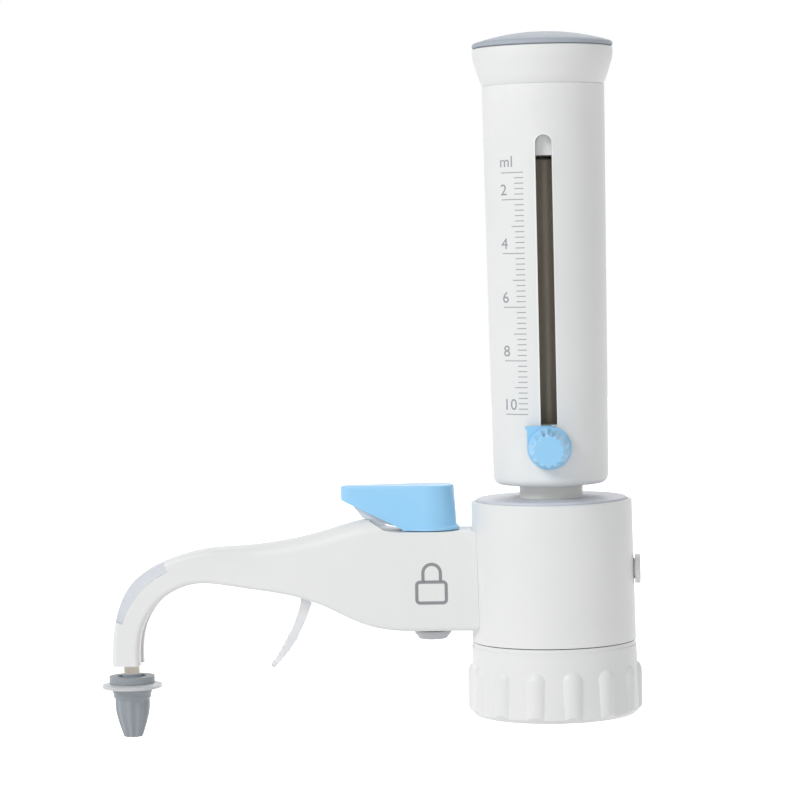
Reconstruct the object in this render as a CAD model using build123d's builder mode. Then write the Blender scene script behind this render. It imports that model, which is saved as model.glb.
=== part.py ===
from build123d import *
import os
from math import atan2, cos, degrees, pi, radians, sin, sqrt

# Bottle-top dispenser for GL45 bottles, 1 to 10 ml, all lengths in millimetres.
# The origin is on the main axis in the plane of the collar's mouth, Z is up,
# the discharge arm points along -X and the barrel's scale and slot face -Y.

# Gaps: parts pushed together, shafts that turn or slide, parts that pass each other
fit_gap = 0.05
turn_gap = 0.08
free_gap = 0.35

# Extra length of a cut past the face where it ends
cut_over = 1.0

# Bottle collar
collar_height = 24.4
collar_base_radius = 28.3
collar_top_radius = 27.6
collar_wall = 3.6
collar_web = 3.0
collar_foot_bevel = 1.3
collar_band_height = 1.4
collar_band_step = 0.3
thread_radius = 22.65
thread_length = 13.2
thread_relief = 0.45
mouth_bevel = 0.8
grip_count = 14
grip_width = 5.4
grip_proud = 0.95
grip_height = 16.4

# Valve block housing and its disc
housing_base_radius = 27.5
housing_rim_radius = 26.9
housing_height = 46.9
housing_wall = 2.5
housing_floor = 2.8
rim_round = 0.6
disc_radius = 25.3
disc_thickness = 2.0
disc_proud = 0.9
disc_skirt = 1.6
disc_round = 0.8
ledge_depth = 3.2
ledge_width = 1.0
stiffener_count = 4
stiffener_thickness = 1.6
stiffener_height = 34.0

# Valve core
gasket_thickness = 1.0
gasket_radius = 21.0
gasket_inner_radius = 14.5
flange_thickness = 2.7
flange_radius = 21.5
spigot_radius = 17.0
neck_radius = 16.0
nut_height = 3.5
nut_radius = 20.5
nut_notch_count = 6
nut_notch_width = 4.0
tower_radius = 13.0
tower_height = 39.3
core_socket_depth = 4.5
guard_socket_depth = 6.0
glass_socket_depth = 3.0
filling_socket_radius = 3.0
filling_socket_depth = 10.0
filling_passage_radius = 1.5
filling_passage_length = 4.0
filling_seat_radius = 5.0
filling_seat_height = 8.5
filling_seat_rise = 2.0
filling_cage_radius = 2.9
filling_lip = 1.0
filling_ball_radius = 2.4
return_socket_radius = 2.0
return_socket_offset = 10.0
return_socket_depth = 8.0

# Glass cylinder, piston and guard
bore_radius = 6.0
glass_wall = 1.75
glass_length = 129.5
seal_thickness = 1.0
guard_radius = 10.57
guard_wall = 1.8
guard_length = 142.0
window_width = 8.0
window_foot = 22.0
window_height = 106.3
window_round = 1.5
piston_length = 10.0
piston_lip_height = 1.6
rod_radius = 4.0

# Barrel
barrel_gap = 4.7
barrel_foot_radius = 19.25
barrel_head_radius = 20.42
barrel_length = 132.6
barrel_bore_radius = 17.0
barrel_foot_round = 2.7
barrel_lip_thickness = 2.2
barrel_lip_radius = 13.0
guide_ring_height = 3.6
slot_width = 5.4
slot_top = 115.8
slot_clearance = 0.5

# Barrel head
head_height = 12.5
head_radius = 23.4
head_flare_height = 7.7
head_spigot_depth = 6.5
head_web = 3.6
head_wall = 2.0
cap_rise = 5.5
cap_edge = 0.7
cap_thickness = 1.8
cap_skirt_depth = 3.0
rod_thread_radius = 2.5
rod_nut_radius = 4.5
rod_nut_height = 3.2

# Volume slider and clamp knob
pointer_level = 13.2
pointer_radius = 7.2
pointer_reach = 8.0
pointer_face = 3.7
pointer_underrun = 2.7
shoe_width = 9.0
knob_radius = 6.9
knob_nose_radius = 5.35
knob_length = 15.5
knob_rim = 1.2
knob_edge_round = 0.4
knob_flute_count = 14
knob_flute_radius = 1.0
screw_radius = 1.5
screw_grip = 8.0

# Rotary valve and lever
lever_reach = 40.7
deck_level = 62.2
recess_floor_radius = 14.3
recess_slope_radius = 18.0
recess_slope_rise = 0.7
recess_crest_radius = 21.0
recess_crest_rise = 3.5
valve_body_radius = 8.0
inlet_boss_radius = 6.0
inlet_boss_length = 3.0
outlet_boss_radius = 4.4
outlet_boss_length = 5.0
spindle_radius = 5.5
spindle_end = 24.6
spindle_end_round = 1.2
plug_height = 3.0
plug_neck_radius = 2.5
plug_neck_length = 6.0
passage_radius = 1.8
spindle_seal_radius = 0.9
spindle_neck_radius = 4.0
lever_height = 15.0
lever_hub_radius = 8.0
lever_foot_radius = 8.9
lever_flange_radius = 9.65
lever_flange_height = 1.5
lever_tip_reach = 30.1
lever_tip_radius = 3.6
lever_tip_drop = 4.6
lever_wall = 1.8
lever_edge_round = 0.8
insert_tip_reach = 26.2

# Discharge line
line_level = 49.5
cartridge_radius = 4.5
cartridge_socket = 3.5
discharge_ball_radius = 2.2
spring_wire_radius = 0.25
spring_turns = 6
tube_radius = 2.7
tube_socket = 4.0
bend_radius = 26.0
nozzle_reach = 143.4
nozzle_radius = 3.3
nozzle_top = 14.9
nozzle_shoulder = 7.0
nozzle_nose_radius = 2.3
nozzle_end = -1.5

# Arm shells: reach, underside, ridge, half width low, half width high, ridge round
arm_root = (14.0, 29.0, 66.6, 12.4, 9.9, 3.0)
arm_lever = (50.0, 29.3, 66.4, 12.2, 9.6, 4.0)
arm_crest = (63.5, 31.8, 65.9, 11.5, 8.7, 5.0)
arm_waist = (77.5, 38.2, 62.2, 10.5, 7.7, 5.0)
arm_taper = (91.0, 42.1, 59.3, 9.4, 7.0, 4.5)
arm_slender = (104.5, 44.2, 57.8, 8.3, 6.7, 3.8)
arm_foot_round = 1.6
arm_wall = 1.8
bend_inner_radius = 22.3
bend_half_width = 7.4
bend_round = 1.8
bend_outline = ((0.0, 33.2), (22.5, 32.5), (45.0, 33.3), (67.5, 32.1), (90.0, 31.5))
bend_end_level = 18.2
root_wall = 2.2
tongue_half_width = 8.5
tongue_low = 36.0
tongue_high = 60.0
tongue_wall = 1.9
hook_half_width = 10.0
hook_height = 1.5
hook_thickness = 1.8
web_reaches = (66.0, 92.0)
web_thickness = 1.4
boss_places = ((57.0, 36.5), (57.5, 57.0), (84.0, 55.6))
boss_radius = 2.3
peg_radius = 1.1
peg_length = 3.0

# Bend insert between the shells
insert_inner_radius = 29.1
insert_start_angle = 24.0
insert_end_angle = 72.0
insert_gap_angle = 0.1
insert_half_width = 5.4
opening_start_angle = 26.0

# Tether strap stub under the arm: reach, level, thickness and lean of three places on it
strap_root = (83.3, 38.5, 3.4, 10.0)
strap_middle = (87.0, 28.9, 2.9, 28.0)
strap_tip = (95.2, 16.9, 1.1, 48.0)
strap_width = 5.0
strap_head_level = 43.3
strap_head_height = 1.5
strap_head_overhang = 1.1
strap_wave_pitch = 2.2
strap_wave_count = 6
strap_wave_depth = 0.3

# Nozzle cap
cap_flange_radius = 7.7
cap_mouth_radius = 4.8
cap_mouth_level = 14.2
cap_throat_level = 10.5
cap_cone_radius = 7.05
cap_cone_level = 9.8
cap_body_radius = 5.85
cap_body_level = 8.1
cap_taper_level = 3.5
cap_foot_radius = 3.1
cap_foot_level = -6.5
cap_floor = 3.0
cap_lip = 0.8
cap_flute_count = 10
cap_flute_radius = 1.1
cap_flute_depth = 0.6
ring_radius = 10.1
ring_seat_radius = 6.0
ring_thickness = 2.0

# Vent plug
vent_level = 48.0
vent_head_radius = 5.0
vent_head_thickness = 1.8
vent_stem_radius = 3.4
vent_stem_length = 5.6
vent_bore_radius = 1.2
vent_round = 0.4

# Levels of the valve block, counted up from the collar's mouth
thread_top = mouth_bevel + thread_length
flange_base = thread_top + gasket_thickness
flange_top = flange_base + flange_thickness
web_base = flange_top + free_gap
web_top = web_base + collar_web
housing_base = collar_height + free_gap
housing_rim = housing_base + housing_height
floor_top = housing_base + housing_floor
disc_top = housing_rim + disc_proud
nut_top = floor_top + nut_height
core_top = housing_base + tower_height
guard_base = core_top - guard_socket_depth
seal_base = guard_base - glass_socket_depth
glass_base = seal_base + seal_thickness
glass_radius = bore_radius + glass_wall
window_base = guard_base + window_foot
window_top = window_base + window_height

# Levels of the barrel
barrel_base = disc_top + barrel_gap
barrel_top = barrel_base + barrel_length
guide_base = barrel_base + barrel_lip_thickness
guide_top = guide_base + guide_ring_height
slot_base = guide_top + slot_clearance
slot_crown = barrel_base + slot_top
head_top = barrel_top + head_height
web_level = barrel_top - head_web
pointer_axis = barrel_base + pointer_level
rise_per_ml = 1000 / (pi * bore_radius**2)

# Levels along the arm
bend_centre_reach = nozzle_reach - bend_radius
bend_centre_level = line_level - bend_radius
lever_base = deck_level + free_gap
lever_top = lever_base + lever_height
valve_face = lever_reach - valve_body_radius
inlet_face = valve_face - inlet_boss_length
cartridge_end = inlet_face + cartridge_socket
cartridge_start = tower_radius - core_socket_depth
outlet_face = lever_reach + valve_body_radius + outlet_boss_length
tube_start = outlet_face - tube_socket
tube_end = nozzle_shoulder + fit_gap


def housing_outer_radius(level):
    """Radius of the housing's tapered outer wall at a level."""
    share = (level - housing_base) / housing_height
    return housing_base_radius + share * (housing_rim_radius - housing_base_radius)


def barrel_outer_radius(level):
    """Radius of the barrel's tapered outer wall at a level."""
    share = (level - barrel_base) / barrel_length
    return barrel_foot_radius + share * (barrel_head_radius - barrel_foot_radius)


# Collar that screws on the bottle, with rounded grip ribs
grip_radius = ((grip_width / 2) ** 2 + grip_proud**2) / (2 * grip_proud)
grip_centre = collar_base_radius + grip_proud - grip_radius
grip_dome = grip_height - sqrt(grip_radius**2 - (collar_base_radius - grip_centre) ** 2)
with BuildPart() as bottle_collar:
    with BuildSketch(Plane.XZ):
        with BuildLine():
            Polyline(
                (thread_radius - collar_wall, 0),
                (collar_base_radius, 0),
                (collar_top_radius, collar_height - collar_band_height),
                (collar_top_radius - collar_band_step, collar_height - collar_band_height),
                (collar_top_radius - collar_band_step, collar_height),
                (thread_radius - collar_wall, collar_height),
                close=True,
            )
        make_face()
    revolve(axis=Axis.Z)
    with PolarLocations(grip_centre, grip_count, start_angle=180 / grip_count + 90):
        Cylinder(grip_radius, grip_dome, align=(Align.CENTER, Align.CENTER, Align.MIN))
    with Locations(Location((0, 0, grip_dome))):
        with PolarLocations(grip_centre, grip_count, start_angle=180 / grip_count + 90):
            Sphere(grip_radius)
    with BuildSketch(Plane.XZ):
        with BuildLine():
            Polyline(
                (0, 0),
                (thread_radius + mouth_bevel, 0),
                (thread_radius, mouth_bevel),
                (thread_radius, thread_top),
                (thread_radius + thread_relief, thread_top),
                (thread_radius + thread_relief, web_base),
                (spigot_radius + turn_gap, web_base),
                (spigot_radius + turn_gap, web_top),
                (collar_top_radius - collar_wall, web_top),
                (collar_top_radius - collar_wall, collar_height + cut_over),
                (0, collar_height + cut_over),
                close=True,
            )
        make_face()
        with BuildLine():
            Polyline(
                (collar_base_radius - collar_foot_bevel, 0),
                (collar_base_radius + grip_proud + cut_over, 0),
                (collar_base_radius + grip_proud + cut_over, collar_foot_bevel + grip_proud + cut_over),
                close=True,
            )
        make_face()
    revolve(axis=Axis.Z, mode=Mode.SUBTRACT)
bottle_collar.part.label = "bottle_collar"


# Housing of the valve block: a cup with a ledge for the disc, an arm hole and a vent hole
ledge_level = housing_rim - ledge_depth
with BuildPart() as housing:
    with BuildSketch(Plane.XZ) as housing_profile:
        with BuildLine():
            Polyline(
                (neck_radius + fit_gap, housing_base),
                (housing_base_radius, housing_base),
                (housing_rim_radius, housing_rim),
                (disc_radius + fit_gap, housing_rim),
                (disc_radius + fit_gap, ledge_level),
                (disc_radius - ledge_width, ledge_level),
                (housing_base_radius - housing_wall, floor_top),
                (neck_radius + fit_gap, floor_top),
                close=True,
            )
        make_face()
        fillet(housing_profile.vertices().sort_by(Axis.Y)[-2:], rim_round)
    revolve(axis=Axis.Z)
    with Locations(Location((0, 0, floor_top - fit_gap))):
        with PolarLocations(housing_base_radius - housing_wall, stiffener_count, start_angle=45):
            Box(
                housing_wall,
                stiffener_thickness,
                stiffener_height,
                align=(Align.MAX, Align.CENTER, Align.MIN),
            )
    with BuildSketch(Plane.YZ):
        with Locations((0, (tongue_low + tongue_high) / 2)):
            Rectangle(2 * (tongue_half_width + fit_gap), tongue_high - tongue_low + 2 * fit_gap)
    extrude(amount=-housing_base_radius, mode=Mode.SUBTRACT)
    with BuildSketch(Plane.YZ):
        with Locations((0, vent_level)):
            Circle(vent_stem_radius + turn_gap)
    extrude(amount=housing_base_radius, mode=Mode.SUBTRACT)
housing.part.label = "housing"

# Disc that closes the top of the housing around the guard
with BuildPart() as top_disc:
    with BuildSketch(Plane.XZ) as disc_profile:
        with BuildLine():
            Polyline(
                (guard_radius + fit_gap, disc_top),
                (disc_radius, disc_top),
                (disc_radius, ledge_level),
                (disc_radius - disc_skirt, ledge_level),
                (disc_radius - disc_skirt, disc_top - disc_thickness),
                (tower_radius, disc_top - disc_thickness),
                (tower_radius, core_top),
                (guard_radius + fit_gap, core_top),
                close=True,
            )
        make_face()
        fillet(disc_profile.vertices().group_by(Axis.Y)[-1].sort_by(Axis.X)[-1], disc_round)
    revolve(axis=Axis.Z)
top_disc.part.label = "top_disc"

# Core of the valve block: flange for the bottle, spigot for the collar, tower for the glass
socket_top = flange_base + filling_socket_depth
pocket_base = socket_top + filling_passage_length
line_axis = Axis((0, 0, line_level), (-1, 0, 0))
with BuildPart() as valve_core:
    with BuildSketch(Plane.XZ):
        with BuildLine():
            Polyline(
                (filling_socket_radius, flange_base),
                (flange_radius, flange_base),
                (flange_radius, flange_top),
                (spigot_radius, flange_top),
                (spigot_radius, housing_base),
                (neck_radius, housing_base),
                (neck_radius, nut_top),
                (tower_radius, nut_top),
                (tower_radius, core_top),
                (guard_radius + fit_gap, core_top),
                (guard_radius + fit_gap, guard_base),
                (glass_radius + fit_gap, guard_base),
                (glass_radius + fit_gap, seal_base),
                (filling_seat_radius + fit_gap, seal_base),
                (filling_seat_radius + fit_gap, pocket_base),
                (filling_passage_radius, pocket_base),
                (filling_passage_radius, socket_top),
                (filling_socket_radius, socket_top),
                close=True,
            )
        make_face()
    revolve(axis=Axis.Z)
    with BuildSketch(Plane.YZ):
        with Locations((0, line_level)):
            Circle(passage_radius)
    extrude(amount=-tower_radius, mode=Mode.SUBTRACT)
    with BuildSketch(Plane.YZ.offset(-cartridge_start)):
        with Locations((0, line_level)):
            Circle(cartridge_radius + fit_gap)
    extrude(amount=-core_socket_depth, mode=Mode.SUBTRACT)
    with BuildSketch(Plane.XY.offset(flange_base)):
        with Locations((return_socket_offset, 0)):
            Circle(return_socket_radius)
    extrude(amount=return_socket_depth, mode=Mode.SUBTRACT)
valve_core.part.label = "valve_core"

# Ring nut that clamps the housing on the core
with BuildPart() as core_nut:
    with BuildSketch(Plane.XY.offset(floor_top)):
        Circle(nut_radius)
        Circle(neck_radius + fit_gap, mode=Mode.SUBTRACT)
        with PolarLocations(nut_radius, nut_notch_count):
            Rectangle(nut_notch_width / 2, nut_notch_width, mode=Mode.SUBTRACT)
    extrude(amount=nut_height)
core_nut.part.label = "core_nut"

# Seal between the bottle's mouth and the core
with BuildPart() as bottle_gasket:
    with BuildSketch(Plane.XY.offset(thread_top)):
        Circle(gasket_radius)
        Circle(gasket_inner_radius, mode=Mode.SUBTRACT)
    extrude(amount=gasket_thickness)
bottle_gasket.part.label = "bottle_gasket"

# Filling valve: a cage with a cone seat, and its ball
seat_low = pocket_base + filling_seat_rise / 2
seat_high = seat_low + filling_seat_rise
cage_top = pocket_base + filling_seat_height
with BuildPart() as filling_valve:
    with BuildSketch(Plane.XZ):
        with BuildLine():
            Polyline(
                (filling_passage_radius, pocket_base),
                (filling_seat_radius, pocket_base),
                (filling_seat_radius, cage_top),
                (filling_passage_radius, cage_top),
                (filling_passage_radius, cage_top - filling_lip),
                (filling_cage_radius, cage_top - filling_lip),
                (filling_cage_radius, seat_high),
                (filling_passage_radius, seat_low),
                close=True,
            )
        make_face()
    revolve(axis=Axis.Z)
filling_valve.part.label = "filling_valve"

seat_slope = (filling_cage_radius - filling_passage_radius) / filling_seat_rise
ball_reach = (filling_ball_radius + fit_gap) * sqrt(1 + seat_slope**2)
ball_level = seat_low + (ball_reach - filling_passage_radius) / seat_slope
with BuildPart() as filling_ball:
    with Locations((0, 0, ball_level)):
        Sphere(filling_ball_radius)
filling_ball.part.label = "filling_ball"

# Seal under the glass cylinder, and the amber glass cylinder itself
with BuildPart() as cylinder_seal:
    with BuildSketch(Plane.XY.offset(seal_base)):
        Circle(glass_radius)
        Circle(bore_radius, mode=Mode.SUBTRACT)
    extrude(amount=seal_thickness)
cylinder_seal.part.label = "cylinder_seal"

with BuildPart() as glass_cylinder:
    with BuildSketch(Plane.XZ) as glass_profile:
        with BuildLine():
            Polyline(
                (bore_radius, glass_base),
                (glass_radius, glass_base),
                (glass_radius, glass_base + glass_length),
                (bore_radius, glass_base + glass_length),
                close=True,
            )
        make_face()
        fillet(glass_profile.vertices().sort_by(Axis.Y)[-2:], glass_wall / 3)
    revolve(axis=Axis.Z)
glass_cylinder.part.label = "glass_cylinder"

# Guard tube round the glass, with a window behind the slot
with BuildPart() as cylinder_guard:
    with BuildSketch(Plane.XY.offset(guard_base)):
        Circle(guard_radius)
        Circle(guard_radius - guard_wall, mode=Mode.SUBTRACT)
    extrude(amount=guard_length)
    with BuildSketch(Plane.XZ) as guard_window:
        with Locations((0, (window_base + window_top) / 2)):
            Rectangle(window_width, window_height)
        fillet(guard_window.vertices(), window_round)
    extrude(amount=guard_radius, mode=Mode.SUBTRACT)
cylinder_guard.part.label = "cylinder_guard"

# Discharge valve in the line to the arm: cartridge, ball and spring
valve_seat = cartridge_start + core_socket_depth
spring_end = cartridge_end - cartridge_socket / 2
spring_room = discharge_ball_radius + free_gap
with BuildPart() as discharge_valve:
    with BuildSketch(Plane.XZ):
        with BuildLine():
            Polyline(
                (-cartridge_start, line_level + passage_radius),
                (-cartridge_start, line_level + cartridge_radius),
                (-cartridge_end, line_level + cartridge_radius),
                (-cartridge_end, line_level + passage_radius),
                (-spring_end, line_level + passage_radius),
                (-spring_end, line_level + spring_room),
                (-valve_seat - spring_room + passage_radius, line_level + spring_room),
                (-valve_seat, line_level + passage_radius),
                close=True,
            )
        make_face()
    revolve(axis=line_axis)
discharge_valve.part.label = "discharge_valve"

ball_depth = (discharge_ball_radius + fit_gap) * sqrt(2) - passage_radius
with BuildPart() as discharge_ball:
    with Locations((-valve_seat - ball_depth, 0, line_level)):
        Sphere(discharge_ball_radius)
discharge_ball.part.label = "discharge_ball"

spring_head = valve_seat + ball_depth + discharge_ball_radius + spring_wire_radius + fit_gap
spring_length = spring_end - spring_head - spring_wire_radius - fit_gap
spring_radius = discharge_ball_radius - spring_wire_radius
with BuildPart() as discharge_spring:
    with BuildLine() as coil:
        Helix(
            spring_length / spring_turns,
            spring_length,
            spring_radius,
            center=(-spring_head, 0, line_level),
            direction=(-1, 0, 0),
        )
    with BuildSketch(Plane(origin=coil.line @ 0, z_dir=coil.line % 0)):
        Circle(spring_wire_radius)
    sweep(path=coil.line)
discharge_spring.part.label = "discharge_spring"

# Body of the rotary valve inside the arm, with a boss for each pipe
valve_body_base = arm_lever[1] + arm_wall
valve_body_top = deck_level - arm_wall
lever_axis = Axis((-lever_reach, 0, 0), (0, 0, 1))
with BuildPart() as rotary_valve_body:
    with BuildSketch(Plane.XY.offset(valve_body_base)):
        with Locations((-lever_reach, 0)):
            Circle(valve_body_radius)
    extrude(amount=valve_body_top - valve_body_base)
    with BuildSketch(Plane.YZ.offset(-inlet_face)):
        with Locations((0, line_level)):
            Circle(inlet_boss_radius)
    extrude(amount=inlet_face - lever_reach)
    with BuildSketch(Plane.YZ.offset(-outlet_face)):
        with Locations((0, line_level)):
            Circle(outlet_boss_radius)
    extrude(amount=outlet_face - lever_reach)
    with BuildSketch(Plane.YZ.offset(-inlet_face)):
        with Locations((0, line_level)):
            Circle(cartridge_radius + fit_gap)
    extrude(amount=-cartridge_socket, mode=Mode.SUBTRACT)
    with BuildSketch(Plane.YZ.offset(-outlet_face)):
        with Locations((0, line_level)):
            Circle(tube_radius + fit_gap)
    extrude(amount=tube_socket, mode=Mode.SUBTRACT)
    with BuildSketch(Plane.YZ.offset(-inlet_face)):
        with Locations((0, line_level)):
            Circle(passage_radius)
    extrude(amount=inlet_face - outlet_face, mode=Mode.SUBTRACT)
    with BuildSketch(Plane.XY.offset(valve_body_base)):
        with Locations((-lever_reach, 0)):
            Circle(spindle_radius + turn_gap)
    extrude(amount=valve_body_top - valve_body_base, mode=Mode.SUBTRACT)
rotary_valve_body.part.label = "rotary_valve_body"

# Discharge tube: along the arm, round the bend and down to the nozzle
with BuildPart() as discharge_tube:
    with BuildLine() as tube_path:
        FilletPolyline(
            (-tube_start, 0, line_level),
            (-nozzle_reach, 0, line_level),
            (-nozzle_reach, 0, tube_end),
            radius=bend_radius,
        )
    with BuildSketch(Plane.YZ.offset(-tube_start)):
        with Locations((0, line_level)):
            Circle(tube_radius)
            Circle(passage_radius, mode=Mode.SUBTRACT)
    sweep(path=tube_path.line)
discharge_tube.part.label = "discharge_tube"

# Nozzle tip on the end of the tube
nozzle_plane = Plane(origin=(-nozzle_reach, 0, 0), x_dir=(1, 0, 0), z_dir=(0, -1, 0))
nozzle_axis = Axis((-nozzle_reach, 0, 0), (0, 0, 1))
with BuildPart() as nozzle_tip:
    with BuildSketch(nozzle_plane):
        with BuildLine():
            Polyline(
                (passage_radius, nozzle_end),
                (nozzle_nose_radius, nozzle_end),
                (nozzle_nose_radius, nozzle_shoulder - nozzle_radius + nozzle_nose_radius),
                (nozzle_radius, nozzle_shoulder),
                (nozzle_radius, nozzle_top),
                (tube_radius + fit_gap, nozzle_top),
                (tube_radius + fit_gap, nozzle_shoulder),
                (passage_radius, nozzle_shoulder),
                close=True,
            )
        make_face()
    revolve(axis=nozzle_axis)
nozzle_tip.part.label = "nozzle_tip"

# Spindle of the rotary valve, with a groove for each seal and a neck for the lever
lever_plane = Plane(origin=(-lever_reach, 0, 0), x_dir=(1, 0, 0), z_dir=(0, -1, 0))
seal_width = 2 * spindle_seal_radius + fit_gap
seal_levels = (valve_body_base + seal_width, valve_body_top - 2 * seal_width)
spindle_base = valve_body_base
neck_base = lever_base + lever_flange_height
neck_top = lever_top - lever_wall - 2 * fit_gap
with BuildPart() as valve_spindle:
    with BuildSketch(lever_plane):
        with BuildLine():
            Polyline(
                (0, spindle_base),
                (spindle_radius, spindle_base),
                (spindle_radius, neck_base),
                (spindle_neck_radius, neck_base),
                (spindle_neck_radius, neck_top),
                (0, neck_top),
                close=True,
            )
        make_face()
    revolve(axis=lever_axis)
    for seal_level in seal_levels:
        with BuildSketch(lever_plane):
            with Locations((spindle_radius, seal_level)):
                Rectangle(2 * seal_width, seal_width, align=(Align.CENTER, Align.MIN))
        revolve(axis=lever_axis, mode=Mode.SUBTRACT)
    with BuildSketch(Plane.YZ.offset(-lever_reach)):
        with Locations((0, line_level)):
            Circle(passage_radius)
    extrude(amount=spindle_radius, both=True, mode=Mode.SUBTRACT)
    with BuildSketch(Plane.XY.offset(spindle_base)):
        with Locations((-lever_reach, 0)):
            Circle(plug_neck_radius + fit_gap)
    extrude(amount=plug_neck_length, mode=Mode.SUBTRACT)
valve_spindle.part.label = "valve_spindle"

# Ring seals in the spindle's grooves
with BuildPart() as spindle_seals:
    for seal_level in seal_levels:
        with Locations((-lever_reach, 0, seal_level + seal_width / 2)):
            Torus(spindle_radius - spindle_seal_radius, spindle_seal_radius)
spindle_seals.part.label = "spindle_seals"

# Plug that shows under the arm at the foot of the spindle
plug_top = spindle_end + plug_height
with BuildPart() as spindle_plug:
    with BuildSketch(lever_plane) as plug_profile:
        with BuildLine():
            Polyline(
                (0, spindle_end),
                (spindle_radius, spindle_end),
                (spindle_radius, plug_top),
                (plug_neck_radius, plug_top),
                (plug_neck_radius, spindle_base + plug_neck_length - fit_gap),
                (0, spindle_base + plug_neck_length - fit_gap),
                close=True,
            )
        make_face()
        fillet(plug_profile.vertices().group_by(Axis.Y)[0].sort_by(Axis.X)[-1], spindle_end_round)
    revolve(axis=lever_axis)
spindle_plug.part.label = "spindle_plug"


def lever_plan(level, hub, tip, tip_reach):
    """Plan of the lever at a level: a hub circle and a tip circle joined by tangents."""
    plan_plane = Plane(origin=(-lever_reach, 0, level), x_dir=(-1, 0, 0), z_dir=(0, 0, 1))
    with BuildSketch(plan_plane) as plan:
        Circle(hub)
        with Locations((tip_reach - tip, 0)):
            Circle(tip)
        make_hull()
    return plan.sketch


# Lever cover: a tapered shell with a sloping underside and a flange round the hub
side_plane = Plane(origin=(-lever_reach, 0, 0), x_dir=(-1, 0, 0), z_dir=(0, 1, 0))
flange_level = lever_base + lever_flange_height
slope_high = lever_top - lever_tip_drop
tip_taper = (lever_foot_radius - lever_hub_radius) / 3
tip_foot_radius = lever_tip_radius + tip_taper
tip_foot_reach = lever_tip_reach + tip_taper
inner_hub = lever_hub_radius - lever_wall
inner_tip = lever_tip_radius - lever_wall
inner_reach = lever_tip_reach - lever_wall
with BuildPart() as valve_lever:
    loft(
        sections=[
            lever_plan(lever_base, lever_foot_radius, tip_foot_radius, tip_foot_reach),
            lever_plan(lever_top, lever_hub_radius, lever_tip_radius, lever_tip_reach),
        ],
        ruled=True,
    )
    fillet(valve_lever.faces().sort_by(Axis.Z)[-1].edges(), lever_edge_round)
    with BuildSketch(side_plane):
        with BuildLine():
            Polyline(
                (lever_foot_radius, lever_base - cut_over),
                (lever_foot_radius, lever_base),
                (lever_flange_radius, lever_base + lever_flange_height / 2),
                (lever_tip_reach, slope_high),
                (lever_tip_reach + lever_wall, slope_high),
                (lever_tip_reach + lever_wall, lever_base - cut_over),
                close=True,
            )
        make_face()
    extrude(amount=lever_flange_radius, both=True, mode=Mode.SUBTRACT)
    with BuildSketch(lever_plane):
        with BuildLine():
            Polyline(
                (inner_hub, lever_base),
                (lever_flange_radius, lever_base),
                (lever_flange_radius, lever_base + lever_flange_height / 2),
                (lever_foot_radius, flange_level),
                (inner_hub, flange_level),
                close=True,
            )
        make_face()
    revolve(axis=lever_axis)
    extrude(
        lever_plan(lever_base, inner_hub, inner_tip, inner_reach),
        amount=lever_height - lever_wall,
        mode=Mode.SUBTRACT,
    )
valve_lever.part.label = "valve_lever"

# Pale insert inside the lever, which shows below the cover's slope
insert_low = neck_base
with BuildPart() as lever_insert:
    extrude(
        lever_plan(insert_low, inner_hub - fit_gap, inner_tip - fit_gap, inner_reach - fit_gap),
        amount=neck_top - insert_low,
    )
    with BuildSketch(side_plane):
        with BuildLine():
            Polyline(
                (recess_floor_radius - lever_wall, insert_low - cut_over),
                (recess_floor_radius - lever_wall, insert_low),
                (recess_crest_radius + lever_wall, deck_level + recess_crest_rise + 3 * free_gap),
                (insert_tip_reach, slope_high - lever_wall),
                (lever_tip_reach, slope_high + lever_wall / 2),
                (lever_tip_reach, insert_low - cut_over),
                close=True,
            )
        make_face()
    extrude(amount=lever_flange_radius, both=True, mode=Mode.SUBTRACT)
    with BuildSketch(Plane.XY.offset(insert_low)):
        with Locations((-lever_reach, 0)):
            Circle(spindle_neck_radius + fit_gap)
    extrude(amount=lever_height, mode=Mode.SUBTRACT)
lever_insert.part.label = "lever_insert"


def arm_section(plane, low, high, low_half, high_half, low_round, high_round):
    """One section of the arm: a trapezoid with rounded corners, in the plane's own axes."""
    with BuildSketch(plane) as section:
        with BuildLine():
            Polyline(
                (-low_half, low),
                (low_half, low),
                (high_half, high),
                (-high_half, high),
                close=True,
            )
        make_face()
        fillet(section.vertices().group_by(Axis.Y)[0], low_round)
        fillet(section.vertices().group_by(Axis.Y)[-1], high_round)
    return section.sketch


def straight_section(station, wall=0.0, ceiling=None):
    """Section of the straight arm at a station, inset by a wall and kept under a ceiling."""
    reach, low, high, low_half, high_half, high_round = station
    plane = Plane(origin=(-reach, 0, 0), x_dir=(0, -1, 0), z_dir=(-1, 0, 0))
    low_round = max(arm_foot_round - wall / 2, fit_gap)
    top = high - wall
    if ceiling is not None:
        top = min(top, ceiling)
    share = (top - low) / (high - low)
    top_half = low_half + share * (high_half - low_half) - wall
    return arm_section(
        plane, low + wall, top, low_half - wall, top_half, low_round, max(high_round - wall, low_round)
    )


def bend_section(angle, outer, drop=0.0):
    """Section of the bend, turned by an angle about the bend's centre."""
    turn = radians(angle)
    plane = Plane(
        origin=(-bend_centre_reach, 0, bend_centre_level - drop),
        x_dir=(0, -1, 0),
        z_dir=(-cos(turn), 0, -sin(turn)),
    )
    return arm_section(
        plane, bend_inner_radius, outer, bend_half_width, bend_half_width, bend_round, bend_round
    )


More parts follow.
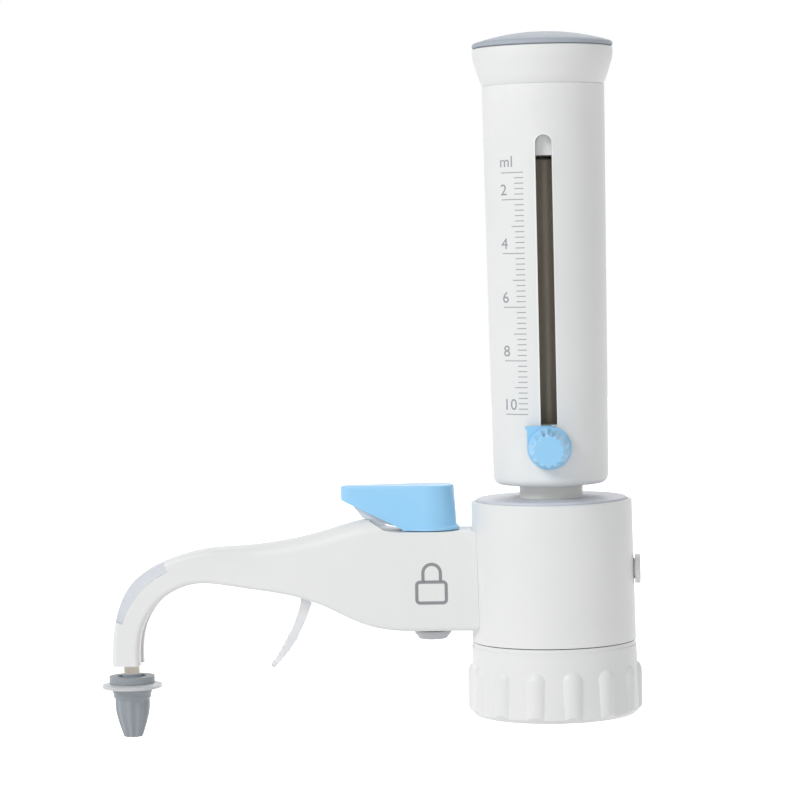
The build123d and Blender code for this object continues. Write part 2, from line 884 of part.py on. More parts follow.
# Outer form of the arm, from inside the valve block to the end of the bend
root_steps = 3
root_stations = [
    tuple(low + (high - low) * step / root_steps for low, high in zip(arm_root, arm_lever))
    for step in range(root_steps)
]
straight_stations = root_stations + [arm_lever, arm_crest, arm_waist, arm_taper, arm_slender]
arm_sections = [straight_section(station) for station in straight_stations]
arm_sections += [bend_section(angle, outer) for angle, outer in bend_outline]
arm_sections.append(bend_section(90, bend_outline[-1][1], bend_centre_level - bend_end_level))
with BuildPart() as arm_form:
    loft(sections=arm_sections)

# Hollow inside the arm: an inset form less the webs and bosses, plus the valve's pocket
cavity_ceiling = deck_level - arm_wall
cavity_sections = [
    straight_section(station, arm_wall, cavity_ceiling if station[0] <= arm_crest[0] else None)
    for station in straight_stations
]
with BuildPart() as arm_cavity:
    loft(sections=cavity_sections)
    for reach in web_reaches:
        with BuildSketch(Plane.YZ.offset(-reach)):
            Rectangle(4 * bend_half_width, 4 * deck_level)
        extrude(amount=web_thickness / 2, both=True, mode=Mode.SUBTRACT)
    for reach, level in boss_places:
        with BuildSketch(Plane.XZ):
            with Locations((-reach, level)):
                Circle(boss_radius)
        extrude(amount=2 * bend_half_width, both=True, mode=Mode.SUBTRACT)
    with BuildSketch(Plane.XY):
        Rectangle(2 * (housing_base_radius + root_wall), 4 * bend_half_width)
    extrude(amount=disc_top, mode=Mode.SUBTRACT)
    with BuildSketch(Plane.XY.offset(valve_body_base)):
        with Locations((-lever_reach, 0)):
            Circle(valve_body_radius + fit_gap)
    extrude(amount=valve_body_top - valve_body_base)

# Channel of the discharge tube through the webs and round the bend
channel_radius = tube_radius + fit_gap
bend_plane = Plane(
    origin=(-bend_centre_reach, 0, bend_centre_level), x_dir=(-1, 0, 0), z_dir=(0, 1, 0)
)
with BuildPart() as tube_channel:
    with BuildLine() as channel_path:
        FilletPolyline(
            (-tube_start, 0, line_level),
            (-nozzle_reach, 0, line_level),
            (-nozzle_reach, 0, bend_end_level - cut_over),
            radius=bend_radius,
        )
    with BuildSketch(Plane.YZ.offset(-tube_start)):
        with Locations((0, line_level)):
            Circle(channel_radius)
    sweep(path=channel_path.line)
    with BuildSketch(bend_plane):
        with BuildLine():
            opening_turn = radians(90 - opening_start_angle)
            opening_near = bend_inner_radius - bend_round
            edge_start = (bend_radius * cos(opening_turn), bend_radius * sin(opening_turn))
            near_start = (opening_near * cos(opening_turn), opening_near * sin(opening_turn))
            RadiusArc(edge_start, (bend_radius, 0), bend_radius)
            Polyline(
                (bend_radius, 0),
                (bend_radius, bend_end_level - bend_centre_level - cut_over),
                (opening_near, bend_end_level - bend_centre_level - cut_over),
                (opening_near, 0),
            )
            RadiusArc((opening_near, 0), near_start, -opening_near)
            Line(near_start, edge_start)
        make_face()
    extrude(amount=channel_radius, both=True)


def bend_sector(inner, outer, start_angle, end_angle):
    """Ring sector in the bend's side plane, between two angles counted from the top."""
    first = radians(90 - start_angle)
    last = radians(90 - end_angle)
    with BuildSketch(bend_plane) as sector:
        with BuildLine():
            RadiusArc(
                (inner * cos(first), inner * sin(first)), (inner * cos(last), inner * sin(last)), inner
            )
            Line((inner * cos(last), inner * sin(last)), (outer * cos(last), outer * sin(last)))
            RadiusArc(
                (outer * cos(last), outer * sin(last)), (outer * cos(first), outer * sin(first)), -outer
            )
            Line((outer * cos(first), outer * sin(first)), (inner * cos(first), inner * sin(first)))
        make_face()
    return sector.sketch


# Pale insert that closes the outside of the bend between the shells
insert_outer_radius = bend_outline[0][1] + bend_round + bend_half_width / 2
with BuildPart() as bend_insert:
    add(arm_form.part)
    extrude(
        bend_sector(
            insert_inner_radius + fit_gap,
            insert_outer_radius,
            insert_start_angle + insert_gap_angle,
            insert_end_angle - insert_gap_angle,
        ),
        amount=insert_half_width,
        both=True,
        mode=Mode.INTERSECT,
    )
bend_insert.part.label = "bend_insert"

# Arm shells: the outer form with its tongue, deck, hollow and channel, cut in two halves
reach_plane = Plane(origin=(0, 0, 0), x_dir=(-1, 0, 0), z_dir=(0, 1, 0))
wall_inner_radius = disc_radius - ledge_width
hook_outer = sqrt(wall_inner_radius**2 - hook_half_width**2) - fit_gap
hook_inner = hook_outer - hook_thickness
tongue_centre = (tongue_low + tongue_high) / 2
tongue_depth = tongue_high - tongue_low
strap_reach = strap_root[0]
strap_slot_half = strap_root[2] / 2 + fit_gap
with BuildPart() as arm_whole:
    add(arm_form.part)
    with BuildSketch(Plane.XZ):
        with BuildLine():
            Polyline(
                (0, housing_base),
                (housing_base_radius + fit_gap, housing_base),
                (housing_rim_radius + fit_gap, housing_rim),
                (housing_rim_radius + fit_gap, disc_top),
                (0, disc_top),
                close=True,
            )
        make_face()
    revolve(axis=Axis.Z, mode=Mode.SUBTRACT)
    with BuildSketch(lever_plane):
        with BuildLine():
            Polyline(
                (0, deck_level),
                (recess_floor_radius, deck_level),
                (recess_slope_radius, deck_level + recess_slope_rise),
                (recess_crest_radius, deck_level + recess_crest_rise),
                (recess_crest_radius, disc_top),
                (0, disc_top),
                close=True,
            )
        make_face()
    revolve(axis=lever_axis, mode=Mode.SUBTRACT)
    with BuildSketch(Plane.XY.offset(deck_level)):
        Rectangle(2 * lever_reach, 4 * bend_half_width)
    extrude(amount=disc_top - deck_level, mode=Mode.SUBTRACT)
    with BuildSketch(Plane.YZ.offset(-hook_inner)):
        with Locations((0, tongue_centre)):
            Rectangle(2 * tongue_half_width, tongue_depth)
    extrude(amount=hook_inner - housing_base_radius - root_wall)
    with BuildSketch(Plane.YZ.offset(-hook_inner)):
        with Locations((0, tongue_centre)):
            Rectangle(2 * hook_half_width, tongue_depth + 2 * hook_height)
    extrude(amount=-hook_thickness)
    with BuildSketch(Plane.YZ.offset(-hook_inner)):
        with Locations((0, tongue_centre)):
            Rectangle(2 * (tongue_half_width - tongue_wall), tongue_depth - 2 * tongue_wall)
    extrude(amount=hook_inner - housing_base_radius - root_wall, mode=Mode.SUBTRACT)
    add(arm_cavity.part, mode=Mode.SUBTRACT)
    add(tube_channel.part, mode=Mode.SUBTRACT)
    extrude(
        bend_sector(
            insert_inner_radius, insert_outer_radius, insert_start_angle, insert_end_angle
        ),
        amount=2 * bend_half_width,
        both=True,
        mode=Mode.SUBTRACT,
    )
    with BuildSketch(Plane.XY):
        with Locations((-lever_reach, 0)):
            Circle(spindle_radius + free_gap)
    extrude(amount=disc_top, mode=Mode.SUBTRACT)
    with BuildSketch(Plane.XY):
        with Locations((-strap_reach, 0)):
            Rectangle(2 * strap_slot_half, strap_width + 2 * fit_gap)
    extrude(amount=strap_head_level, mode=Mode.SUBTRACT)

with BuildPart() as arm_front_shell:
    add(arm_whole.part)
    split(bisect_by=Plane.XZ, keep=Keep.TOP)
    with BuildSketch(Plane.XZ):
        with Locations(*[(-reach, level) for reach, level in boss_places]):
            Circle(peg_radius)
    extrude(amount=-peg_length)
arm_front_shell.part.label = "arm_front_shell"

with BuildPart() as arm_rear_shell:
    add(arm_whole.part)
    split(bisect_by=Plane.XZ, keep=Keep.BOTTOM)
    with BuildSketch(Plane.XZ):
        with Locations(*[(-reach, level) for reach, level in boss_places]):
            Circle(peg_radius + fit_gap)
    extrude(amount=-peg_length - free_gap, mode=Mode.SUBTRACT)
arm_rear_shell.part.label = "arm_rear_shell"

# Stub of the cap's tether strap, held in a slot of the arm's floor
def strap_edge(place, side):
    """Point on one edge of the strap at a place, on the side given by a sign."""
    reach, level, thickness, lean = place
    turn = radians(lean)
    return (
        reach + side * cos(turn) * thickness / 2,
        level + side * sin(turn) * thickness / 2,
    )


strap_head_top = strap_head_level + strap_head_height
strap_half = strap_root[2] / 2
with BuildLine():
    strap_spine = ThreePointArc(*[place[:2] for place in (strap_root, strap_middle, strap_tip)])
strap_length = strap_spine.length
with BuildPart() as tether_strap:
    with BuildSketch(reach_plane):
        with BuildLine():
            ThreePointArc(*[strap_edge(place, 1) for place in (strap_root, strap_middle, strap_tip)])
            Line(strap_edge(strap_tip, 1), strap_edge(strap_tip, -1))
            ThreePointArc(*[strap_edge(place, -1) for place in (strap_tip, strap_middle, strap_root)])
            Line(strap_edge(strap_root, -1), strap_edge(strap_root, 1))
        make_face()
        with Locations((strap_reach, strap_root[1] - strap_half / 2)):
            Rectangle(2 * strap_half, strap_head_top - strap_root[1], align=(Align.CENTER, Align.MIN))
        with Locations((strap_reach, strap_head_level)):
            Rectangle(
                2 * (strap_half + strap_head_overhang),
                strap_head_height,
                align=(Align.CENTER, Align.MIN),
            )
        for step in range(strap_wave_count):
            tip_distance = strap_wave_pitch * (step + 1 / 2)
            wave_centre = strap_spine @ (1 - tip_distance / strap_length)
            thickening = (strap_middle[2] - strap_tip[2]) * 2 * tip_distance / strap_length
            with Locations((wave_centre.X, wave_centre.Y)):
                Circle((strap_tip[2] + thickening) / 2 + strap_wave_depth)
    extrude(amount=strap_width / 2, both=True)
tether_strap.part.label = "tether_strap"

# Barrel sleeve: a tapered tube with a rounded foot and the slider's slot
with BuildPart() as barrel_sleeve:
    with BuildSketch(Plane.XZ) as sleeve_profile:
        with BuildLine():
            Polyline(
                (barrel_lip_radius, barrel_base),
                (barrel_foot_radius, barrel_base),
                (barrel_head_radius, barrel_top),
                (barrel_bore_radius, barrel_top),
                (barrel_bore_radius, guide_base),
                (barrel_lip_radius, guide_base),
                close=True,
            )
        make_face()
        fillet(
            sleeve_profile.vertices().group_by(Axis.Y)[0].sort_by(Axis.X)[-1], barrel_foot_round
        )
    revolve(axis=Axis.Z)
    with BuildSketch(Plane.XZ):
        with Locations((0, (slot_base + slot_crown) / 2)):
            SlotOverall(slot_crown - slot_base, slot_width, rotation=90)
    extrude(amount=barrel_head_radius, mode=Mode.SUBTRACT)
barrel_sleeve.part.label = "barrel_sleeve"

# Ring that guides the barrel on the guard tube
with BuildPart() as guide_ring:
    with BuildSketch(Plane.XY.offset(guide_base)):
        Circle(barrel_bore_radius - fit_gap)
        Circle(guard_radius + turn_gap, mode=Mode.SUBTRACT)
    extrude(amount=guide_ring_height)
guide_ring.part.label = "guide_ring"

# Flared head of the barrel, with a spigot in the sleeve and a web for the rod
spigot_outer = barrel_bore_radius - fit_gap
spigot_inner = spigot_outer - head_wall
flare_top = barrel_top + head_flare_height
with BuildPart() as head_collar:
    with BuildSketch(Plane.XZ):
        with BuildLine():
            Polyline(
                (spigot_outer, barrel_top),
                (barrel_head_radius, barrel_top),
            )
            TangentArc(
                (barrel_head_radius, barrel_top), (head_radius, flare_top), tangent=(0, 1)
            )
            Polyline(
                (head_radius, flare_top),
                (head_radius, head_top),
                (head_radius - head_wall, head_top),
                (head_radius - head_wall, flare_top),
                (spigot_outer, barrel_top + head_wall),
                (spigot_inner, barrel_top),
                (rod_thread_radius + fit_gap, barrel_top),
                (rod_thread_radius + fit_gap, web_level),
                (spigot_inner, web_level),
                (spigot_inner, barrel_top - head_spigot_depth),
                (spigot_outer, barrel_top - head_spigot_depth),
                (spigot_outer, barrel_top),
            )
        make_face()
    revolve(axis=Axis.Z)
head_collar.part.label = "head_collar"

# Dome cap on the head, with a skirt inside it
cap_inner_radius = head_radius - head_wall - fit_gap
with BuildPart() as top_cap:
    with BuildSketch(Plane.XZ):
        with BuildLine():
            Line((0, head_top + cap_rise - cap_thickness), (0, head_top + cap_rise))
            TangentArc(
                (0, head_top + cap_rise), (head_radius, head_top + cap_edge), tangent=(1, 0)
            )
            Polyline(
                (head_radius, head_top + cap_edge),
                (head_radius, head_top),
                (cap_inner_radius, head_top),
                (cap_inner_radius, head_top - cap_skirt_depth),
                (cap_inner_radius - cap_thickness, head_top - cap_skirt_depth),
                (cap_inner_radius - cap_thickness, head_top),
            )
            TangentArc(
                (0, head_top + cap_rise - cap_thickness),
                (cap_inner_radius - cap_thickness, head_top),
                tangent=(1, 0),
            )
        make_face()
    revolve(axis=Axis.Z)
top_cap.part.label = "top_cap"

# Piston with two lips, its rod, and the nut that holds the rod in the head
piston_base = glass_base + free_gap
piston_top = piston_base + piston_length
lip_radius = bore_radius - turn_gap
waist_radius = lip_radius - free_gap
stud_radius = rod_radius / 2
with BuildPart() as piston:
    with BuildSketch(Plane.XZ):
        with BuildLine():
            Polyline(
                (0, piston_base),
                (lip_radius, piston_base),
                (lip_radius, piston_base + piston_lip_height),
                (waist_radius, piston_base + piston_lip_height + free_gap),
                (waist_radius, piston_top - piston_lip_height - free_gap),
                (lip_radius, piston_top - piston_lip_height),
                (lip_radius, piston_top),
                (stud_radius + fit_gap, piston_top),
                (stud_radius + fit_gap, piston_top - piston_length / 2),
                (0, piston_top - piston_length / 2),
                close=True,
            )
        make_face()
    revolve(axis=Axis.Z)
piston.part.label = "piston"

nut_base = barrel_top
with BuildPart() as piston_rod:
    with BuildSketch(Plane.XZ):
        with BuildLine():
            Polyline(
                (0, piston_top - piston_length / 2 + fit_gap),
                (stud_radius, piston_top - piston_length / 2 + fit_gap),
                (stud_radius, piston_top),
                (rod_radius, piston_top),
                (rod_radius, web_level),
                (rod_thread_radius, web_level),
                (rod_thread_radius, nut_base + rod_nut_height + fit_gap),
                (0, nut_base + rod_nut_height + fit_gap),
                close=True,
            )
        make_face()
    revolve(axis=Axis.Z)
piston_rod.part.label = "piston_rod"

with BuildPart() as rod_nut:
    with BuildSketch(Plane.XY.offset(nut_base)):
        RegularPolygon(rod_nut_radius, 6)
        Circle(rod_thread_radius + fit_gap, mode=Mode.SUBTRACT)
    extrude(amount=rod_nut_height)
rod_nut.part.label = "rod_nut"

# Volume slider: teardrop pointer plate outside the barrel with a neck through its slot
slider_travel = 9 * rise_per_ml + pointer_underrun
pointer_top = pointer_axis + pointer_radius
neck_foot = slot_base + free_gap
slider_back_radius = barrel_outer_radius(pointer_top + slider_travel) + free_gap
slider_front = barrel_outer_radius(pointer_axis) + pointer_face
neck_inner = barrel_bore_radius - free_gap - fit_gap
with BuildPart() as volume_slider:
    with BuildSketch(Plane.XZ):
        with Locations((0, pointer_axis)):
            Circle(pointer_radius)
            Rectangle(pointer_radius, pointer_radius, align=(Align.MAX, Align.MIN))
        with BuildLine():
            Polyline(
                (-pointer_radius, pointer_top - 2 * (pointer_reach - pointer_radius)),
                (-pointer_reach, pointer_top),
                (0, pointer_top),
                (0, pointer_top - 2 * (pointer_reach - pointer_radius)),
                close=True,
            )
        make_face()
    extrude(amount=slider_front)
    with BuildSketch(Plane.XY.offset(barrel_base)):
        Circle(slider_back_radius)
    extrude(amount=barrel_length, mode=Mode.SUBTRACT)
    with BuildSketch(Plane.XZ.offset(neck_inner)):
        with Locations((0, (neck_foot + pointer_top) / 2)):
            SlotOverall(pointer_top - neck_foot, slot_width - 2 * free_gap, rotation=90)
    extrude(amount=slider_back_radius - neck_inner + fit_gap)
    with BuildSketch(Plane.XY.offset(barrel_base)):
        Circle(neck_inner)
    extrude(amount=barrel_length, mode=Mode.SUBTRACT)
    with BuildSketch(Plane.XZ):
        with Locations((0, pointer_axis)):
            Circle(screw_radius + turn_gap)
    extrude(amount=slider_front, mode=Mode.SUBTRACT)
volume_slider.part.label = "volume_slider"

# Shoe inside the barrel that the clamp screw pulls against the wall
with BuildPart() as clamp_shoe:
    with BuildSketch(Plane.XY.offset(neck_foot)):
        Circle(neck_inner - fit_gap)
        Circle(guard_radius + free_gap, mode=Mode.SUBTRACT)
        with Locations((0, -barrel_bore_radius / 2)):
            Rectangle(shoe_width, barrel_bore_radius, mode=Mode.INTERSECT)
    extrude(amount=pointer_top - neck_foot)
    with BuildSketch(Plane.XZ):
        with Locations((0, pointer_axis)):
            Circle(screw_radius + turn_gap)
    extrude(amount=barrel_bore_radius, mode=Mode.SUBTRACT)
clamp_shoe.part.label = "clamp_shoe"

# Clamp knob: a fluted cone with a rim, and its screw
knob_face = slider_front + free_gap
knob_plane = Plane(origin=(0, 0, pointer_axis), x_dir=(0, -1, 0), z_dir=(1, 0, 0))
knob_axis = Axis((0, 0, pointer_axis), (0, -1, 0))
knob_nose = knob_face + knob_length
knob_shank_radius = knob_radius - knob_edge_round
knob_tilt = degrees(atan2(knob_shank_radius - knob_nose_radius, knob_length - knob_rim))
with BuildPart() as clamp_knob:
    with BuildSketch(knob_plane) as knob_profile:
        with BuildLine():
            Polyline(
                (knob_face, 0),
                (knob_face, knob_radius),
                (knob_face + knob_rim, knob_radius),
                (knob_face + knob_rim, knob_shank_radius),
                (knob_nose, knob_nose_radius),
                (knob_nose, 0),
                close=True,
            )
        make_face()
        fillet(knob_profile.vertices().group_by(Axis.X)[-1].sort_by(Axis.Y)[-1], knob_edge_round)
    revolve(axis=knob_axis)
    flute_plane = Plane(
        origin=(0, -knob_face - 2 * knob_rim, pointer_axis), x_dir=(1, 0, 0), z_dir=(0, -1, 0)
    )
    with Locations(flute_plane):
        with PolarLocations(knob_shank_radius + knob_flute_radius / 2, knob_flute_count):
            Cylinder(
                knob_flute_radius,
                knob_length,
                rotation=(0, -knob_tilt, 0),
                align=(Align.CENTER, Align.CENTER, Align.MIN),
                mode=Mode.SUBTRACT,
            )
    with BuildSketch(Plane.XZ.offset(knob_face)):
        with Locations((0, pointer_axis)):
            Circle(screw_radius + fit_gap)
    extrude(amount=screw_grip + fit_gap, mode=Mode.SUBTRACT)
clamp_knob.part.label = "clamp_knob"

screw_inner = guard_radius + 2 * free_gap
with BuildPart() as clamp_screw:
    with BuildSketch(Plane.XZ.offset(screw_inner)):
        with Locations((0, pointer_axis)):
            Circle(screw_radius)
    extrude(amount=knob_face + screw_grip - screw_inner)
clamp_screw.part.label = "clamp_screw"

# Nozzle cap: mouth flange, ring seat, cone and fluted body
cap_room = nozzle_radius + free_gap
nose_room = nozzle_nose_radius + free_gap
step_level = nozzle_shoulder - nozzle_radius + nozzle_nose_radius
ring_base = cap_cone_level
ring_top = ring_base + ring_thickness
with BuildPart() as nozzle_cap:
    with BuildSketch(nozzle_plane):
        with BuildLine():
            Polyline(
                (0, cap_foot_level),
                (cap_foot_radius - cap_lip, cap_foot_level),
                (cap_foot_radius, cap_foot_level + cap_lip),
                (cap_body_radius, cap_taper_level),
                (cap_body_radius, cap_body_level),
                (cap_cone_radius, cap_cone_level),
                (ring_seat_radius, cap_cone_level),
                (ring_seat_radius, ring_top),
                (cap_flange_radius, ring_top),
                (cap_flange_radius, cap_mouth_level - cap_lip),
                (cap_flange_radius - cap_lip, cap_mouth_level),
                (cap_mouth_radius, cap_mouth_level),
                (cap_room, cap_throat_level + cap_lip),
                (cap_room, step_level),
                (nose_room, step_level - cap_lip),
                (nose_room, cap_foot_level + cap_floor),
                (0, cap_foot_level + cap_floor),
                close=True,
            )
        make_face()
    revolve(axis=nozzle_axis)
    with BuildSketch(Plane.XY.offset(cap_foot_level)):
        with Locations((-nozzle_reach, 0)):
            with PolarLocations(cap_body_radius + cap_flute_radius - cap_flute_depth, cap_flute_count):
                Circle(cap_flute_radius)
    extrude(amount=cap_body_level - cap_foot_level, mode=Mode.SUBTRACT)
nozzle_cap.part.label = "nozzle_cap"

# Ring of the tether, clipped round the cap
with BuildPart() as cap_ring:
    with BuildSketch(nozzle_plane):
        with BuildLine():
            Polyline(
                (ring_seat_radius + fit_gap, ring_base),
                (cap_flange_radius, ring_base),
                (ring_radius, ring_base + ring_thickness / 4),
                (ring_radius, ring_top - ring_thickness / 4),
                (cap_flange_radius, ring_top),
                (ring_seat_radius + fit_gap, ring_top),
                close=True,
            )
        make_face()
    revolve(axis=nozzle_axis)
cap_ring.part.label = "cap_ring"

# Vent plug in the side of the housing
vent_seat = housing_outer_radius(vent_level) + free_gap
vent_tip = vent_seat - vent_stem_length
with BuildPart() as vent_plug:
    with BuildSketch(Plane.YZ.offset(vent_seat)):
        with Locations((0, vent_level)):
            Circle(vent_head_radius)
    extrude(amount=vent_head_thickness)
    fillet(vent_plug.edges().group_by(Axis.X)[-1], vent_round)
    with BuildSketch(Plane.YZ.offset(vent_tip)):
        with Locations((0, vent_level)):
            Circle(vent_stem_radius)
    extrude(amount=vent_stem_length)
    with BuildSketch(Plane.YZ.offset(vent_tip)):
        with Locations((0, vent_level)):
            Circle(vent_bore_radius)
    extrude(amount=vent_stem_length - vent_round, mode=Mode.SUBTRACT)
vent_plug.part.label = "vent_plug"

# One file for each piece
pieces = (
    bottle_collar,
    housing,
    top_disc,
    valve_core,
    core_nut,
    bottle_gasket,
    filling_valve,
    filling_ball,
    cylinder_seal,
    glass_cylinder,
    cylinder_guard,
    discharge_valve,
    discharge_ball,
    discharge_spring,
    rotary_valve_body,
    discharge_tube,
    nozzle_tip,
    arm_front_shell,
    arm_rear_shell,
    bend_insert,
    tether_strap,
    valve_spindle,
    spindle_seals,
    spindle_plug,
    valve_lever,
    lever_insert,
    barrel_sleeve,
    guide_ring,
    head_collar,
    top_cap,
    piston,
    piston_rod,
    rod_nut,
    volume_slider,
    clamp_shoe,
    clamp_knob,
    clamp_screw,
    nozzle_cap,
    cap_ring,
    vent_plug,
)
os.makedirs("parts", exist_ok=True)
for piece in pieces:
    export_step(piece.part, f"parts/{piece.part.label}.step")
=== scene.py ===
import logging
import math
from dataclasses import dataclass
from enum import Enum
from typing import Callable, Iterable

import bmesh
import bpy
from bpy.types import Material, Mesh, Node, NodeSocket, NodeTree, Object
from mathutils import Euler, Matrix, Quaternion, Vector
from mathutils.bvhtree import BVHTree


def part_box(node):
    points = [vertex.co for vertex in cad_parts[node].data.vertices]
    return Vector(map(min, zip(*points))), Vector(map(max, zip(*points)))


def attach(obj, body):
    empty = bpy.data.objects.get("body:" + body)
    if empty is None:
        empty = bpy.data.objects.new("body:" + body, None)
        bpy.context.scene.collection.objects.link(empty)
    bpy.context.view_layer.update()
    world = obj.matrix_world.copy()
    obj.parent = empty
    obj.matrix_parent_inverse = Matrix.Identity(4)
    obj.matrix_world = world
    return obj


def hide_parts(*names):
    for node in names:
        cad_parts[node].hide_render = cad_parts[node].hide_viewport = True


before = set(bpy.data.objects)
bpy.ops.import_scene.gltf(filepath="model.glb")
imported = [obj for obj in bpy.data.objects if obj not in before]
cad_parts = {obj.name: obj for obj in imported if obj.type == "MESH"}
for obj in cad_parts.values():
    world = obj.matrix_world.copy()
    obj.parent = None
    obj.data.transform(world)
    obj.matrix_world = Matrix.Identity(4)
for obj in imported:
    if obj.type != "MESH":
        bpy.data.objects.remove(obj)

LOG = logging.getLogger("dispenser")
MM = 0.001
CREASE = math.radians(38)

Rgb = tuple[int, int, int]
Point = tuple[float, float]


def linear(red: int, green: int, blue: int) -> tuple[float, float, float, float]:
    """Turns a screen colour into the linear colour that a shader takes.

    Args:
        red: Red, 0 to 255.
        green: Green, 0 to 255.
        blue: Blue, 0 to 255.

    Returns:
        The linear colour with an alpha of 1.
    """

    def channel(value: int) -> float:
        """One channel of the curve."""
        share = value / 255
        return share / 12.92 if share <= 0.04045 else ((share + 0.055) / 1.055) ** 2.4

    return channel(red), channel(green), channel(blue), 1.0


class Skin(Enum):
    """Surface textures of moulded pieces: cells per metre and relief in metres."""

    SATIN = (2600.0, 0.000022)
    SMOOTH = (1200.0, 0.000008)
    MATT = (3400.0, 0.000034)


class Length(Enum):
    """Lengths of the scale's lines in millimetres."""

    SHORT = 3.0
    MEDIUM = 4.1
    LONG = 7.3


def new_group(
    name: str, inputs: dict[str, tuple[str, object]], outputs: dict[str, str]
) -> tuple[NodeTree, Node, Node]:
    """Makes an empty shader node group with named sockets.

    Args:
        name: Name of the group.
        inputs: Socket type and first value of each input, by name.
        outputs: Socket type of each output, by name.

    Returns:
        The group, its input node and its output node.
    """
    tree = bpy.data.node_groups.new(name, "ShaderNodeTree")
    for label, (kind, value) in inputs.items():
        socket = tree.interface.new_socket(label, in_out="INPUT", socket_type=kind)
        socket.default_value = value
    for label, kind in outputs.items():
        tree.interface.new_socket(label, in_out="OUTPUT", socket_type=kind)
    return tree, tree.nodes.new("NodeGroupInput"), tree.nodes.new("NodeGroupOutput")


def noise(tree: NodeTree, scale: object, detail: float) -> NodeSocket:
    """Adds a noise texture on the piece's own coordinates.

    Args:
        tree: Tree that gets the nodes.
        scale: Cells in a metre, as a socket or a number.
        detail: Number of finer layers.

    Returns:
        The noise's socket.
    """
    place = tree.nodes.new("ShaderNodeTexCoord").outputs["Object"]
    inputs = {"Vector": place, "Scale": scale, "Detail": detail}
    return add(tree, "ShaderNodeTexNoise", inputs).outputs["Fac"]


def feed(tree: NodeTree, node: Node, inputs: dict[str | int, object]) -> Node:
    """Links a node's inputs to sockets, or gives them values.

    Args:
        tree: Tree that holds the node.
        node: The node.
        inputs: Socket or value of each input, by the input's name or number.

    Returns:
        The node.
    """
    for label, operand in inputs.items():
        if isinstance(operand, NodeSocket):
            tree.links.new(operand, node.inputs[label])
        else:
            node.inputs[label].default_value = operand
    return node


def add(tree: NodeTree, kind: str, inputs: dict[str | int, object]) -> Node:
    """Adds a node and feeds its inputs.

    Args:
        tree: Tree that gets the node.
        kind: Blender's name of the node.
        inputs: Socket or value of each input, by the input's name or number.

    Returns:
        The node.
    """
    return feed(tree, tree.nodes.new(kind), inputs)


def math_node(tree: NodeTree, operation: str, first: object, second: object) -> NodeSocket:
    """Adds a math node whose operands are sockets or numbers.

    Args:
        tree: Tree that gets the node.
        operation: Blender's name of the operation.
        first: First operand.
        second: Second operand.

    Returns:
        The result's socket.
    """
    node = add(tree, "ShaderNodeMath", {0: first, 1: second})
    node.operation = operation
    return node.outputs[0]


def mix_colour(tree: NodeTree, share: object, low: object, high: object) -> NodeSocket:
    """Adds a colour mix whose operands are sockets or values.

    Args:
        tree: Tree that gets the node.
        share: Share of the second colour.
        low: First colour.
        high: Second colour.

    Returns:
        The mixed colour's socket.
    """
    node = tree.nodes.new("ShaderNodeMix")
    node.data_type = "RGBA"
    return feed(tree, node, {0: share, 6: low, 7: high}).outputs[2]


def moulded_skin() -> NodeTree:
    """Builds the group for moulded surfaces: fine spark-eroded grain and slow changes of tone.

    Returns:
        The group.
    """
    tree, source, target = new_group(
        "moulded_skin",
        {
            "Colour": ("NodeSocketColor", (0.8, 0.8, 0.8, 1.0)),
            "Shade": ("NodeSocketColor", (0.7, 0.7, 0.7, 1.0)),
            "Grain Scale": ("NodeSocketFloat", 2600.0),
            "Tone Scale": ("NodeSocketFloat", 35.0),
            "Roughness": ("NodeSocketFloat", 0.4),
            "Roughness Spread": ("NodeSocketFloat", 0.1),
        },
        {"Colour": "NodeSocketColor", "Roughness": "NodeSocketFloat", "Height": "NodeSocketFloat"},
    )
    values = source.outputs
    grain = noise(tree, values["Grain Scale"], 2.0)
    tone = noise(tree, values["Tone Scale"], 3.0)
    share = add(tree, "ShaderNodeMapRange", {"Value": tone, "From Min": 0.3, "From Max": 0.7})
    toned = mix_colour(tree, share.outputs["Result"], values["Colour"], values["Shade"])
    offset = math_node(tree, "SUBTRACT", grain, 0.5)
    change = math_node(tree, "MULTIPLY", offset, values["Roughness Spread"])
    roughness = math_node(tree, "ADD", values["Roughness"], change)
    feed(tree, target, {"Colour": toned, "Roughness": roughness, "Height": grain})
    return tree


def handled_edges() -> NodeTree:
    """Builds the group of a painted edge highlight: a lighter colour on sharp corners.

    Returns:
        The group.
    """
    tree, source, target = new_group(
        "handled_edges",
        {
            "Colour": ("NodeSocketColor", (0.8, 0.8, 0.8, 1.0)),
            "Highlight Colour": ("NodeSocketColor", (0.9, 0.9, 0.9, 1.0)),
            "Amount": ("NodeSocketFloat", 0.5),
        },
        {"Colour": "NodeSocketColor"},
    )
    values = source.outputs
    # Painted highlight: pointed corners are mixed towards a lighter colour, broken up by noise.
    pointed = tree.nodes.new("ShaderNodeNewGeometry").outputs["Pointiness"]
    corner = add(tree, "ShaderNodeMapRange", {"Value": pointed, "From Min": 0.52, "From Max": 0.6})
    broken = math_node(tree, "MULTIPLY", corner.outputs["Result"], noise(tree, 400.0, 3.0))
    mask = math_node(tree, "MULTIPLY", broken, values["Amount"])
    edged = mix_colour(tree, mask, values["Colour"], values["Highlight Colour"])
    feed(tree, target, {"Colour": edged})
    return tree


class Effects:
    """The shader groups, built once."""

    def __init__(self) -> None:
        """Builds both groups."""
        self.skin = moulded_skin()
        # The second group paints a highlight on sharp corners.
        self.edges = handled_edges()


